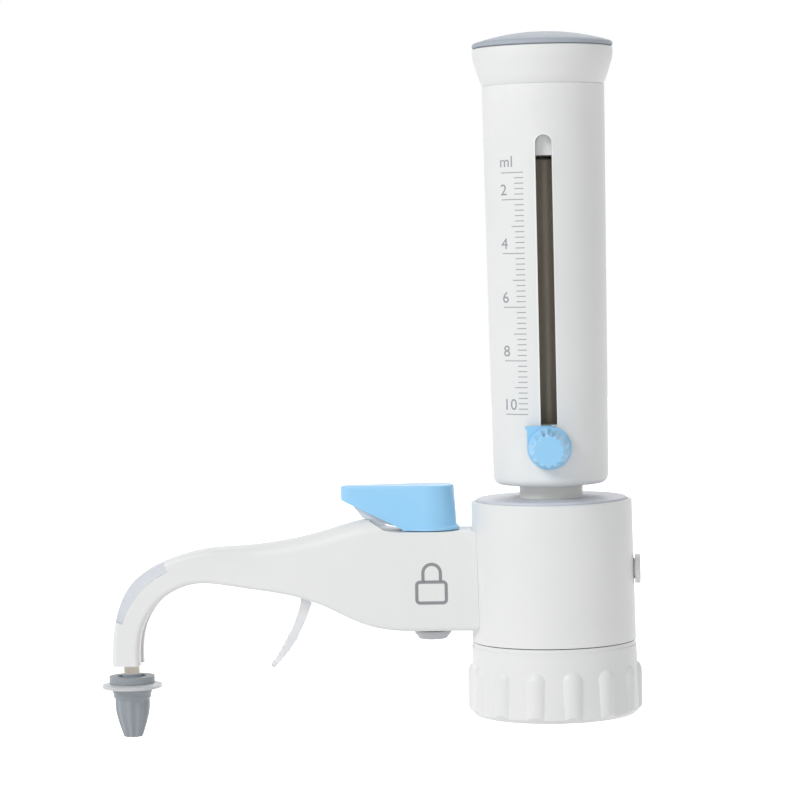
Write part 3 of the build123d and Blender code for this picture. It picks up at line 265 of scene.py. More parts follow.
@dataclass(frozen=True)
class Finish:
    """What the finishes share: a slow change of tone and a fine change of roughness."""

    name: str
    colour: Rgb
    shade: Rgb

    def start(
        self, effects: Effects, grain: float, roughness: float, spread: float
    ) -> tuple[Material, Node, Node]:
        """Makes a material whose colour and roughness come from the skin group.

        Args:
            effects: The shared shader groups.
            grain: Cells of the grain in a metre.
            roughness: Its middle roughness.
            spread: How far the grain changes the roughness.

        Returns:
            The material, its shader and its skin node.
        """
        material = bpy.data.materials.new(self.name)
        material.use_nodes = True
        tree = material.node_tree
        shader = tree.nodes["Principled BSDF"]
        skin = tree.nodes.new("ShaderNodeGroup")
        skin.node_tree = effects.skin
        values = {
            "Colour": linear(*self.colour),
            "Shade": linear(*self.shade),
            "Grain Scale": grain,
            "Roughness": roughness,
            "Roughness Spread": spread,
        }
        feed(tree, skin, values)
        feed(tree, shader, {"Base Color": skin.outputs["Colour"], "Roughness": skin.outputs["Roughness"]})
        return material, shader, skin

    def emboss(self, tree: NodeTree, skin: Node, shader: Node, relief: float) -> None:
        """Raises the surface by the height of the skin group's grain.

        Args:
            tree: Tree of the material.
            skin: Its skin node.
            shader: Its shader.
            relief: Height of the grain in metres.
        """
        bump = add(tree, "ShaderNodeBump", {"Distance": relief, "Height": skin.outputs["Height"]})
        feed(tree, shader, {"Normal": bump.outputs["Normal"]})


@dataclass(frozen=True)
class Plastic(Finish):
    """A moulded plastic finish."""

    skin: Skin = Skin.SATIN
    roughness: float = 0.42
    spread: float = 0.12
    edge_amount: float = 0.25
    edge_lift: int = 14
    sheer: float = 0.0
    coat: float = 0.0
    ior: float = 1.46

    def build(self, effects: Effects) -> Material:
        """Makes the material.

        Args:
            effects: The shared shader groups.

        Returns:
            The finished material.
        """
        grain, relief = self.skin.value
        material, shader, skin = self.start(effects, grain, self.roughness, self.spread)
        tree = material.node_tree
        # Painted edge highlight: sharp corners turn a few steps lighter than the plastic.
        edges = tree.nodes.new("ShaderNodeGroup")
        edges.node_tree = effects.edges
        lighter = linear(*(min(255, value + self.edge_lift) for value in self.colour))
        values = {"Colour": skin.outputs["Colour"], "Highlight Colour": lighter, "Amount": self.edge_amount}
        edged = feed(tree, edges, values).outputs["Colour"]
        self.emboss(tree, skin, shader, relief)
        values = {"IOR": self.ior, "Transmission Weight": self.sheer, "Coat Weight": self.coat}
        feed(tree, shader, {"Base Color": edged, **values})
        return material


@dataclass(frozen=True)
class TurnedSteel(Finish):
    """Steel with fine turning marks."""

    grain: float = 5200.0
    roughness: float = 0.3
    spread: float = 0.2

    def build(self, effects: Effects) -> Material:
        """Makes the material.

        Args:
            effects: The shared shader groups.

        Returns:
            The finished material.
        """
        material, shader, _ = self.start(effects, self.grain, self.roughness, self.spread)
        shader.inputs["Metallic"].default_value = 1.0
        return material


@dataclass(frozen=True)
class TintedGlass(Finish):
    """Amber glass or clear glass with a slow wave in its surface."""

    transmission: float = 0.6
    roughness: float = 0.06
    spread: float = 0.04
    wave: float = 160.0
    relief: float = 0.00002
    ior: float = 1.5

    def build(self, effects: Effects) -> Material:
        """Makes the material.

        Args:
            effects: The shared shader groups.

        Returns:
            The finished material.
        """
        material, shader, skin = self.start(effects, self.wave, self.roughness, self.spread)
        tree = material.node_tree
        feed(tree, shader, {"IOR": self.ior, "Transmission Weight": self.transmission})
        self.emboss(tree, skin, shader, self.relief)
        return material


class Finishes:
    """All the finishes of the dispenser, made once."""

    def __init__(self) -> None:
        """Builds every material."""
        effects = Effects()
        self.white = Plastic("white_housing_plastic", (238, 239, 238), (234, 235, 235)).build(effects)
        self.disc = Plastic("pale_disc_plastic", (213, 216, 223), (207, 210, 218)).build(effects)
        self.guard = Plastic("guard_tube_plastic", (244, 243, 238), (239, 238, 234)).build(effects)
        self.core = Plastic("natural_core_plastic", (222, 221, 214), (214, 213, 206)).build(effects)
        self.piston = Plastic("piston_plastic", (238, 238, 236), (231, 231, 229), Skin.SMOOTH).build(effects)
        self.blue = Plastic(
            "light_blue_plastic", (156, 215, 253), (151, 211, 251), Skin.SMOOTH, 0.32, coat=0.25
        ).build(effects)
        self.cap_grey = Plastic(
            "cap_grey_plastic", (174, 182, 191), (168, 176, 185), Skin.MATT, 0.58
        ).build(effects)
        self.nozzle_grey = Plastic("nozzle_cap_plastic", (152, 159, 165), (145, 152, 158)).build(effects)
        self.plug_grey = Plastic("plug_plastic", (200, 202, 205), (190, 192, 196), Skin.MATT).build(effects)
        self.insert = Plastic(
            "pale_insert_plastic", (231, 235, 241), (224, 229, 236), Skin.SMOOTH, 0.22, sheer=0.12
        ).build(effects)
        self.tube = Plastic(
            "discharge_tube_plastic", (243, 232, 219), (237, 225, 210), Skin.SMOOTH, 0.2
        ).build(effects)
        self.nozzle = Plastic(
            "nozzle_plastic", (188, 200, 214), (180, 193, 208), Skin.SMOOTH, 0.25, sheer=0.2
        ).build(effects)
        self.strap = Plastic(
            "tether_plastic", (240, 241, 243), (233, 235, 238), Skin.SMOOTH, 0.3, sheer=0.35
        ).build(effects)
        self.rubber = Plastic("seal_rubber", (38, 38, 40), (30, 30, 32), Skin.MATT, 0.6).build(effects)
        self.steel = TurnedSteel("turned_steel", (176, 176, 180), (158, 158, 162)).build(effects)
        self.amber = TintedGlass("amber_glass", (190, 180, 162), (180, 170, 152), 0.05, 0.25).build(effects)
        self.clear = TintedGlass("clear_glass", (214, 226, 224), (205, 218, 216), 0.85).build(effects)
        # Near-white paint for the painted highlight along the slot's edge.
        self.bright = Plastic(
            "slot_highlight_paint", (250, 250, 250), (247, 247, 247), Skin.SMOOTH
        ).build(effects)
        self.print = Plastic(
            "grey_print_ink", (158, 163, 168), (150, 156, 161), Skin.SMOOTH, 0.5
        ).build(effects)
        self.mark = Plastic(
            "padlock_print_ink", (146, 146, 150), (138, 138, 143), Skin.SMOOTH, 0.5
        ).build(effects)


def dress(names: Iterable[str], material: Material) -> None:
    """Gives CAD nodes a finish.

    Args:
        names: Names of the nodes.
        material: The finish.
    """
    for name in names:
        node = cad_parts[name]
        for index in range(len(node.material_slots)):
            node.material_slots[index].material = material
        LOG.info("dressed %s with %s", name, material.name)


def link(
    mesh: Mesh, name: str, material: Material, body: str
) -> Object:
    """Makes a finished piece of a mesh and lets it ride on a body.

    Args:
        mesh: The mesh, in its place.
        name: Name of the piece.
        material: Its finish.
        body: The body that carries it.

    Returns:
        The piece.
    """
    mesh.materials.clear()
    mesh.materials.append(material)
    piece = bpy.data.objects.new(name, mesh)
    bpy.context.scene.collection.objects.link(piece)
    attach(piece, body)
    LOG.info("built %s on %s, %d faces", name, body, len(mesh.polygons))
    return piece


def surface_of(name: str) -> BVHTree:
    """Search tree of a CAD node's surface."""
    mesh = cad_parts[name].data
    return BVHTree.FromPolygons(
        [vertex.co for vertex in mesh.vertices], [polygon.vertices for polygon in mesh.polygons]
    )


def print_on(mesh: Mesh, surface: BVHTree, thickness: float) -> None:
    """Lays a flat closed mesh, drawn in X and Z with its depth in Y, on a surface seen from -Y.

    Args:
        mesh: The mesh; its vertices in front of Y = 0 become the ink's top.
        surface: Search tree of the surface.
        thickness: Height of the ink above the surface.
    """
    far = 0.2
    sunk = 0.00004
    for vertex in mesh.vertices:
        lift = thickness if vertex.co.y < 0 else -sunk
        start = Vector((vertex.co.x, -far, vertex.co.z))
        place, normal, _, _ = surface.ray_cast(start, Vector((0, 1, 0)))
        vertex.co = place + normal * lift
    mesh.update()


def finished(shape: bmesh.types.BMesh, name: str) -> Mesh:
    """Turns a bmesh into a mesh and frees it.

    Args:
        shape: The bmesh.
        name: Name of the mesh.

    Returns:
        The mesh.
    """
    mesh = bpy.data.meshes.new(name)
    shape.to_mesh(mesh)
    shape.free()
    return mesh


def as_mesh(maker: Object) -> Mesh:
    """Turns an evaluated object into a plain mesh and removes the object.

    Args:
        maker: The object, with any modifiers.

    Returns:
        The plain mesh.
    """
    graph = bpy.context.evaluated_depsgraph_get()
    graph.update()
    mesh = bpy.data.meshes.new_from_object(maker.evaluated_get(graph))
    bpy.data.objects.remove(maker)
    return mesh


def lettering(text: str, height: float, left: float, base: float) -> Mesh:
    """Draws numbers or letters as a thin closed mesh in X and Z.

    Args:
        text: What is written.
        height: Height of a number in metres.
        left: X of the left edge.
        base: Z of the base line.

    Returns:
        The mesh, cut fine enough to follow a curved wall.
    """
    cap_share, width_share, spacing, half_depth, strip = 0.72, 0.86, 1.05, 0.00001, 0.4 * MM
    curve = bpy.data.curves.new("lettering", "FONT")
    curve.body = text
    curve.size = height / cap_share
    curve.extrude = half_depth
    curve.space_character = spacing
    maker = bpy.data.objects.new("lettering", curve)
    bpy.context.scene.collection.objects.link(maker)
    mesh = as_mesh(maker)
    narrow = Matrix.Diagonal((width_share, 1.0, 1.0, 1.0))
    upright = Matrix.Translation((left, 0, base)) @ Matrix.Rotation(math.radians(90), 4, "X") @ narrow
    mesh.transform(upright)
    shape = bmesh.new()
    shape.from_mesh(mesh)
    bmesh.ops.remove_doubles(shape, verts=shape.verts, dist=1e-7)
    right = max(vertex.co.x for vertex in shape.verts)
    for cut in range(1, math.ceil((right - left) / strip)):
        everything = [*shape.verts, *shape.edges, *shape.faces]
        place = (left + cut * strip, 0, 0)
        bmesh.ops.bisect_plane(shape, geom=everything, plane_co=place, plane_no=(1, 0, 0))
    bmesh.ops.triangulate(shape, faces=shape.faces)
    shape.to_mesh(mesh)
    shape.free()
    return mesh


def arc_points(middle: Point, radius: float, start: float, sweep: float, steps: int) -> list[Point]:
    """Lists points at even steps along an arc.

    Args:
        middle: Centre of the arc.
        radius: Its radius.
        start: Angle of its first point in degrees.
        sweep: Angle from there to its last point in degrees.
        steps: Number of steps.

    Returns:
        The points, with the first and the last.
    """
    turns = [math.radians(start + sweep * step / steps) for step in range(steps + 1)]
    return [(middle[0] + radius * math.cos(turn), middle[1] + radius * math.sin(turn)) for turn in turns]


def divided(points: list[Point], closed: bool, longest: float) -> list[Point]:
    """Adds points on long runs of a path or an outline.

    Args:
        points: Corners of the path.
        closed: Whether the last run goes back to the start.
        longest: Longest run that stays.

    Returns:
        The path with short runs.
    """
    result = []
    count = len(points)
    for index in range(count if closed else count - 1):
        start, stop = points[index], points[(index + 1) % count]
        parts = max(1, math.ceil(math.dist(start, stop) / longest))
        for part in range(parts):
            result.append(tuple(a + (b - a) * part / parts for a, b in zip(start, stop)))
    if not closed:
        result.append(points[-1])
    return result


def softened(points: list[Point], radius: float) -> list[Point]:
    """Rounds the inner corners of an open outline.

    Args:
        points: Corners of the outline, as radius and level in millimetres.
        radius: How far a rounding reaches from its corner.

    Returns:
        The rounded outline.
    """
    steps = 4
    most = 0.45

    def towards(corner: Point, other: Point) -> Point:
        """Where the rounding of a corner meets the run to another."""
        share = min(radius, most * math.dist(corner, other)) / math.dist(corner, other)
        return tuple(c + (o - c) * share for c, o in zip(corner, other))

    result = [points[0]]
    for before, corner, after in zip(points, points[1:], points[2:]):
        triples = list(zip(towards(corner, before), corner, towards(corner, after)))
        for step in range(steps + 1):
            share = step / steps
            rest = 1 - share
            result.append(tuple(rest**2 * s + 2 * share * rest * c + share**2 * e for s, c, e in triples))
    result.append(points[-1])
    return result


@dataclass(frozen=True)
class Flutes:
    """Shallow hollows round a turned piece, between two levels in millimetres."""

    count: int
    depth: float
    low: float
    high: float
    fade: float

    def cut(self, level: float, turn: float) -> float:
        """Depth of the hollows at a place.

        Args:
            level: Height in millimetres.
            turn: Angle in radians.

        Returns:
            The depth in millimetres.
        """
        inside = min(level - self.low, self.high - level) / self.fade
        share = min(1.0, max(0.0, inside))
        return self.depth * share * (0.5 + 0.5 * math.cos(self.count * turn))


def turned(
    name: str,
    outer: list[Point],
    inner: list[Point],
    flutes: Flutes | None = None,
    segments: int = 140,
) -> Mesh:
    """Turns an outline about the Z axis into a closed smooth mesh.

    Args:
        name: Name of the mesh.
        outer: Outer run of the outline, as radius and level in millimetres, which takes the flutes.
        inner: The run that closes it, in the same order.
        flutes: Hollows of the outer run.
        segments: Number of steps round.

    Returns:
        The mesh.
    """
    shape = bmesh.new()
    rings = []
    for cut_here, points in ((flutes, outer), (None, inner)):
        for radius, level in points:
            if radius == 0:
                rings.append([shape.verts.new((0, 0, level * MM))] * segments)
                continue
            ring = []
            for step in range(segments):
                turn = 2 * math.pi * step / segments
                reach = (radius - (cut_here.cut(level, turn) if cut_here else 0.0)) * MM
                ring.append(shape.verts.new((reach * math.cos(turn), reach * math.sin(turn), level * MM)))
            rings.append(ring)
    for first, second in zip(rings, rings[1:] + rings[:1]):
        for step in range(segments):
            nxt = (step + 1) % segments
            corners = list(dict.fromkeys((first[step], first[nxt], second[nxt], second[step])))
            if len(corners) > 2:
                shape.faces.new(corners)
    bmesh.ops.recalc_face_normals(shape, faces=shape.faces)
    mesh = finished(shape, name)
    mesh.shade_smooth()
    mesh.set_sharp_from_angle(angle=CREASE)
    return mesh


def strip_of(rings: list[list[tuple[float, float, float]]], closed: bool, name: str) -> Mesh:
    """Skins a row of four-cornered rings.

    Args:
        rings: Corners of each ring in metres.
        closed: Whether the last ring joins the first.
        name: Name of the mesh.

    Returns:
        The closed mesh.
    """
    shape = bmesh.new()
    rows = [[shape.verts.new(corner) for corner in ring] for ring in rings]
    for first, second in zip(rows, rows[1:] + (rows[:1] if closed else [])):
        for corner in range(4):
            nxt = (corner + 1) % 4
            shape.faces.new((first[corner], first[nxt], second[nxt], second[corner]))
    if not closed:
        shape.faces.new(rows[0])
        shape.faces.new(list(reversed(rows[-1])))
    bmesh.ops.recalc_face_normals(shape, faces=shape.faces)
    return finished(shape, name)


def joined(meshes: list[Mesh], name: str) -> Mesh:
    """Joins several meshes in one.

    Args:
        meshes: The meshes, which are removed.
        name: Name of the joined mesh.

    Returns:
        The joined mesh.
    """
    shape = bmesh.new()
    for mesh in meshes:
        shape.from_mesh(mesh)
        bpy.data.meshes.remove(mesh)
    return finished(shape, name)


def ribbon(path: list[Point], closed: bool, width: float) -> Mesh:
    """Makes a flat line along a path in X and Z, to be printed on a wall.

    Args:
        path: Points of the line's middle in millimetres.
        closed: Whether the line joins its own start.
        width: Width of the line in millimetres.

    Returns:
        The line as a thin closed mesh.
    """
    thin = 0.00003
    count = len(path)
    rings = []
    for index, (x, z) in enumerate(path):
        before = path[index - 1] if closed or index > 0 else path[index]
        after = path[(index + 1) % count] if closed or index < count - 1 else path[index]
        along = Vector((after[0] - before[0], after[1] - before[1])).normalized()
        side = Vector((-along.y, along.x)) * width / 2
        rings.append(
            [
                ((x + sign * side.x) * MM, depth * thin, (z + sign * side.y) * MM)
                for sign, depth in ((-1, -1), (1, -1), (1, 1), (-1, 1))
            ]
        )
    return strip_of(rings, closed, "flat_line")


def run_tree(tree: NodeTree, values: dict[str, object]) -> Mesh:
    """Runs a geometry tree with its named inputs set and keeps the result as a plain mesh.

    Args:
        tree: The geometry tree.
        values: Value of each input, by the input's name.

    Returns:
        The plain mesh.
    """
    maker = bpy.data.objects.new(tree.name, bpy.data.meshes.new(tree.name))
    bpy.context.scene.collection.objects.link(maker)
    modifier = maker.modifiers.new(tree.name, "NODES")
    modifier.node_group = tree
    for item in tree.interface.items_tree:
        if item.item_type == "SOCKET" and item.in_out == "INPUT" and item.name in values:
            modifier[item.identifier] = values[item.name]
    return as_mesh(maker)


def geometry_tree(
    name: str, inputs: dict[str, tuple[str, object]]
) -> tuple[NodeTree, Node, Callable[[NodeSocket], None]]:
    """Makes an empty geometry tree with named inputs and one geometry output.

    Args:
        name: Name of the tree.
        inputs: Socket type and first value of each input, by name.

    Returns:
        The tree, its input node and a function that ends it with a geometry socket.
    """
    tree = bpy.data.node_groups.new(name, "GeometryNodeTree")
    tree.interface.new_socket("Geometry", in_out="OUTPUT", socket_type="NodeSocketGeometry")
    for label, (kind, value) in inputs.items():
        socket = tree.interface.new_socket(label, in_out="INPUT", socket_type=kind)
        if value is not None:
            socket.default_value = value
    source = tree.nodes.new("NodeGroupInput")

    def end(geometry: NodeSocket) -> None:
        """Realizes the instances, sets the material and closes the tree.

        Args:
            geometry: What the tree has made.
        """
        whole = add(tree, "GeometryNodeRealizeInstances", {0: geometry}).outputs[0]
        values = {"Geometry": whole, "Material": source.outputs["Material"]}
        add(tree, "NodeGroupOutput", {0: add(tree, "GeometryNodeSetMaterial", values).outputs[0]})

    return tree, source, end


def scale_tree() -> NodeTree:
    """Builds the tree of the scale: a line for each step, longer at each unit, longest at even units.

    Returns:
        The tree.
    """
    tree, source, end = geometry_tree(
        "scale_lines",
        {
            "Count": ("NodeSocketInt", 46),
            "Pitch": ("NodeSocketFloat", 1.7684),
            "Steps": ("NodeSocketInt", 5),
            "Width": ("NodeSocketFloat", 0.25),
            "Depth": ("NodeSocketFloat", 0.02),
            "Short": ("NodeSocketFloat", Length.SHORT.value),
            "Medium": ("NodeSocketFloat", Length.MEDIUM.value),
            "Long": ("NodeSocketFloat", Length.LONG.value),
            "Material": ("NodeSocketMaterial", None),
        },
    )
    values = source.outputs
    drop = math_node(tree, "MULTIPLY", values["Pitch"], -1.0)
    down = add(tree, "ShaderNodeCombineXYZ", {"Z": drop}).outputs[0]
    row = tree.nodes.new("GeometryNodeMeshLine")
    row.mode = "OFFSET"
    feed(tree, row, {"Count": values["Count"], "Offset": down})

    index = tree.nodes.new("GeometryNodeInputIndex").outputs[0]
    is_unit = math_node(tree, "COMPARE", math_node(tree, "MODULO", index, values["Steps"]), 0.0)
    double = math_node(tree, "MULTIPLY", values["Steps"], 2.0)
    is_even = math_node(tree, "COMPARE", math_node(tree, "MODULO", index, double), values["Steps"])
    is_long = math_node(tree, "MAXIMUM", is_even, math_node(tree, "COMPARE", index, 0.0))
    lengths = values["Short"]
    for chosen, label in ((is_unit, "Medium"), (is_long, "Long")):
        step = math_node(tree, "SUBTRACT", values[label], lengths)
        lengths = math_node(tree, "ADD", lengths, math_node(tree, "MULTIPLY", step, chosen))

    size = add(tree, "ShaderNodeCombineXYZ", {"X": 1.0, "Y": values["Depth"], "Z": values["Width"]})
    bar = add(tree, "GeometryNodeMeshCube", {"Vertices X": 24, "Size": size.outputs[0]})
    shift = {"Geometry": bar.outputs["Mesh"], "Translation": (-0.5, 0.0, 0.0)}
    line = add(tree, "GeometryNodeTransform", shift).outputs[0]
    stretch = add(tree, "ShaderNodeCombineXYZ", {"X": lengths, "Y": 1.0, "Z": 1.0}).outputs[0]
    parts = {"Points": row.outputs["Mesh"], "Instance": line, "Scale": stretch}
    end(add(tree, "GeometryNodeInstanceOnPoints", parts).outputs[0])
    return tree


def thread_tree() -> NodeTree:
    """Builds the tree of a screw thread: a tapered ridge that follows a helix.

    Returns:
        The tree.
    """
    tree, source, end = geometry_tree(
        "thread_ridge",
        {
            "Turns": ("NodeSocketFloat", 1.5),
            "Radius": ("NodeSocketFloat", 22.65),
            "Rise": ("NodeSocketFloat", 6.0),
            "Crest": ("NodeSocketFloat", 0.8),
            "Foot": ("NodeSocketFloat", 2.2),
            "Height": ("NodeSocketFloat", 1.2),
            "Material": ("NodeSocketMaterial", None),
        },
    )
    values = source.outputs
    helix = add(tree, "GeometryNodeCurveSpiral", {"Resolution": 72})
    for label, name in (
        ("Turns", "Rotations"),
        ("Radius", "Start Radius"),
        ("Radius", "End Radius"),
        ("Rise", "Height"),
    ):
        feed(tree, helix, {name: values[label]})
    upright = add(tree, "GeometryNodeSetCurveNormal", {"Curve": helix.outputs[0]})
    upright.mode = "Z_UP"
    along = tree.nodes.new("GeometryNodeSplineParameter").outputs["Factor"]
    nearest = math_node(tree, "MINIMUM", along, math_node(tree, "SUBTRACT", 1.0, along))
    grown = add(tree, "ShaderNodeMapRange", {"Value": nearest, "From Max": 0.08, "To Min": 0.05})
    grown.interpolation_type = "SMOOTHSTEP"
    size = grown.outputs["Result"]
    taper = add(tree, "GeometryNodeSetCurveRadius", {"Curve": upright.outputs[0], "Radius": size})
    profile = tree.nodes.new("GeometryNodeCurvePrimitiveQuadrilateral")
    profile.mode = "TRAPEZOID"
    sides = {"Bottom Width": values["Foot"], "Top Width": values["Crest"], "Height": values["Height"]}
    feed(tree, profile, {**sides, "Offset": 0.0})
    turn = {"Geometry": profile.outputs[0], "Rotation": Euler((0.0, 0.0, math.radians(90)))}
    section = add(tree, "GeometryNodeTransform", turn).outputs[0]
    parts = {"Curve": taper.outputs[0], "Profile Curve": section, "Fill Caps": True}
    ridge = add(tree, "GeometryNodeCurveToMesh", parts)
    if "Scale" in ridge.inputs:
        feed(tree, ridge, {"Scale": size})
    end(ridge.outputs[0])
    return tree


@dataclass
class BottleCollar:
    """The screw collar and the thread inside it."""

    thread_radius: float = 22.65
    thread_start: float = 2.6
    thread_rise: float = 6.4
    thread_turns: float = 1.6
    ridge_height: float = 1.25
    ridge_foot: float = 2.4
    ridge_crest: float = 0.9
    sunk: float = 0.05

    def thread(self, material: Material) -> None:
        """Makes the thread's ridge.

        Args:
            material: The collar's finish.
        """
        mesh = run_tree(
            thread_tree(),
            {
                "Turns": self.thread_turns,
                "Radius": (self.thread_radius - self.ridge_height / 2 + self.sunk) * MM,
                "Rise": self.thread_rise * MM,
                "Crest": self.ridge_crest * MM,
                "Foot": self.ridge_foot * MM,
                "Height": self.ridge_height * MM,
                "Material": material,
            },
        )
        mesh.transform(Matrix.Translation((0, 0, self.thread_start * MM)))
        link(mesh, "collar_thread", material, "collar")

    def build(self, finishes: Finishes) -> None:
        """Dresses the collar and adds its thread.

        Args:
            finishes: All the finishes.
        """
        dress(["bottle_collar"], finishes.white)
        self.thread(finishes.white)


@dataclass
class Barrel:
    """The lifting barrel with its scale, guide, rod and piston."""

    first_level: float = 180.9
    rise_per_unit: float = 8.842
    steps_per_unit: int = 5
    last_unit: int = 10
    line_right: float = -6.8
    line_width: float = 0.26
    ink: float = 0.00005
    digit_height: float = 3.7
    digit_left: float = -14.5
    tens_left: float = -14.9
    digit_rise: float = 1.5
    unit_left: float = -14.6
    unit_rise: float = 1.9
    top: float = 209.85
    head_top: float = 222.35
    head_radius: float = 23.4
    head_wall: float = 2.0
    head_spigot: float = 16.95
    head_foot: float = 203.35
    head_web: float = 206.25
    head_recess: float = 4.8
    head_round: float = 0.3
    flare: tuple[Point, ...] = ((20.0, 0.0), (20.42, 0.4), (21.4, 3.1), (22.4, 6.3), (23.1, 8.4))
    flare_rise: float = 10.2
    dome_rise: float = 5.5
    dome_wall: float = 1.8
    dome_vault: float = 2.6
    dome_steps: int = 16
    rim_rise: float = 1.9
    rim_chamfer: float = 0.5
    rim: tuple[Point, ...] = ((0.0, 0.5), (0.25, 0.3), (1.0, 0.3), (1.0, 0.0))
    skirt_inset: float = 2.05
    skirt_depth: float = 3.0
    rod_hole: float = 2.55
    slot_half: float = 2.7
    slot_low: float = 83.55
    slot_high: float = 193.05
    edge_width: float = 0.42
    edge_room: float = 0.02
    edge_run: float = 4.0
    arc_steps: int = 12
    backing_outer: float = 16.5
    backing_inner: float = 15.2
    backing_half_turn: float = 17.0
    backing_low: float = 186.4
    backing_high: float = 203.35

    def lines(self, material: Material) -> Mesh:
        """Makes the scale's lines, flat.

        Args:
            material: The ink.

        Returns:
            The lines' mesh.
        """
        mesh = run_tree(
            scale_tree(),
            {
                "Count": (self.last_unit - 1) * self.steps_per_unit + 1,
                "Pitch": self.rise_per_unit / self.steps_per_unit * MM,
                "Steps": self.steps_per_unit,
                "Width": self.line_width * MM,
                "Depth": 2 * self.ink,
                "Short": Length.SHORT.value * MM,
                "Medium": Length.MEDIUM.value * MM,
                "Long": Length.LONG.value * MM,
                "Material": material,
            },
        )
        mesh.transform(Matrix.Translation((self.line_right * MM, 0, self.first_level * MM)))
        return mesh

    def numbers(self) -> list[Mesh]:
        """Makes the even numbers above their lines and the unit's letters, flat.

        Returns:
            One mesh for each.
        """
        marks = []
        for unit in range(2, self.last_unit + 1, 2):
            level = self.first_level - (unit - 1) * self.rise_per_unit + self.digit_rise
            left = self.tens_left if unit == self.last_unit else self.digit_left
            marks.append(lettering(str(unit), self.digit_height * MM, left * MM, level * MM))
        level = self.first_level + self.unit_rise
        marks.append(lettering("ml", self.digit_height * MM, self.unit_left * MM, level * MM))
        return marks

    def scale(self, material: Material) -> None:
        """Prints the scale on the sleeve.

        Args:
            material: The ink.
        """
        mesh = joined([self.lines(material), *self.numbers()], "volume_scale")
        print_on(mesh, surface_of("barrel_sleeve"), self.ink)
        link(mesh, "volume_scale", material, "barrel")

    def slot_edge(self, material: Material) -> None:
        """Lays a thin white line round the slot, a painted highlight of its rounded edge catching the light.

        Args:
            material: The white of the painted highlight.
        """
        # Painted highlight: a bright line a hair above the sleeve stands in for light on the slot's edge.
        reach = self.slot_half + self.edge_width / 2 + self.edge_room
        path = arc_points((0, self.slot_high - self.slot_half), reach, 0, 180, self.arc_steps)
        path += arc_points((0, self.slot_low + self.slot_half), reach, 180, 180, self.arc_steps)
        mesh = ribbon(divided(path, True, self.edge_run), True, self.edge_width)
        print_on(mesh, surface_of("barrel_sleeve"), self.ink)
        link(mesh, "slot_edge", material, "barrel")

    def head(self, material: Material) -> None:
        """Makes the head collar: a straight flare, a rounded shoulder and a fine seam at its foot.

        Args:
            material: The barrel's finish.
        """
        edge, low, high = self.head_radius, self.head_foot, self.head_top
        spigot, bore = self.head_spigot, self.head_spigot - self.head_wall
        outer = [(spigot, low), (spigot, self.top)]
        outer += [(radius, self.top + rise) for radius, rise in (*self.flare, (edge, self.flare_rise))]
        outer += [(edge, high - self.head_round), (edge - self.head_round, high)]
        inner = [
            (edge - self.head_wall, high),
            (edge - self.head_wall, high - self.head_recess),
            (spigot, self.top + self.head_wall),
            (bore, self.top),
            (self.rod_hole, self.top),
            (self.rod_hole, self.head_web),
            (bore, self.head_web),
            (bore, low),
        ]
        piece = link(turned("head_shell", outer, inner), "head_shell", material, "barrel")
        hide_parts("head_collar")

    def dome(self, material: Material) -> None:
        """Makes the dome cap with its rim, its shadow gap and its skirt.

        Args:
            material: The cap's finish.
        """
        edge, base = self.head_radius - self.rim_chamfer, self.head_top
        rise = self.dome_rise - self.rim_rise
        sphere = (edge**2 + rise**2) / (2 * rise)
        widest = math.asin(edge / sphere)
        crown = base + self.dome_rise
        turns = [widest * step / self.dome_steps for step in range(self.dome_steps + 1)]
        outer = [(sphere * math.sin(turn), crown - sphere * (1 - math.cos(turn))) for turn in turns]
        outer.append((self.head_radius, outer[-1][1] - self.rim_chamfer))
        outer += [(self.head_radius - inset, base + above) for inset, above in self.rim]
        skirt = self.head_radius - self.skirt_inset
        bore = skirt - self.dome_wall
        inner = [
            (skirt, base),
            (skirt, base - self.skirt_depth),
            (bore, base - self.skirt_depth),
            (bore, base),
            (skirt / 2, crown - self.dome_vault),
            (0, crown - self.dome_wall),
        ]
        mesh = turned("dome_cap", outer, inner)
        piece = link(mesh, "dome_cap", material, "barrel")
        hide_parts("top_cap")

    def backing(self, material: Material) -> None:
        """Makes the tongue of the head that stands behind the top of the slot.

        Args:
            material: The barrel's finish.
        """
        rings = []
        for step in range(self.arc_steps + 1):
            turn = math.radians(self.backing_half_turn * (2 * step / self.arc_steps - 1))
            rings.append(
                [
                    (radius * math.sin(turn) * MM, -radius * math.cos(turn) * MM, level * MM)
                    for radius, level in (
                        (self.backing_inner, self.backing_low),
                        (self.backing_outer, self.backing_low),
                        (self.backing_outer, self.backing_high),
                        (self.backing_inner, self.backing_high),
                    )
                ]
            )
        link(strip_of(rings, False, "slot_backing"), "slot_backing", material, "barrel")

    def build(self, finishes: Finishes) -> None:
        """Dresses the barrel and prints its scale.

        Args:
            finishes: All the finishes.
        """
        dress(["barrel_sleeve"], finishes.white)
        self.head(finishes.white)
        self.dome(finishes.cap_grey)
        self.backing(finishes.white)
        self.slot_edge(finishes.bright)
        dress(["guide_ring"], finishes.core)
        dress(["piston", "piston_rod"], finishes.piston)
        dress(["rod_nut"], finishes.steel)
        self.scale(finishes.print)


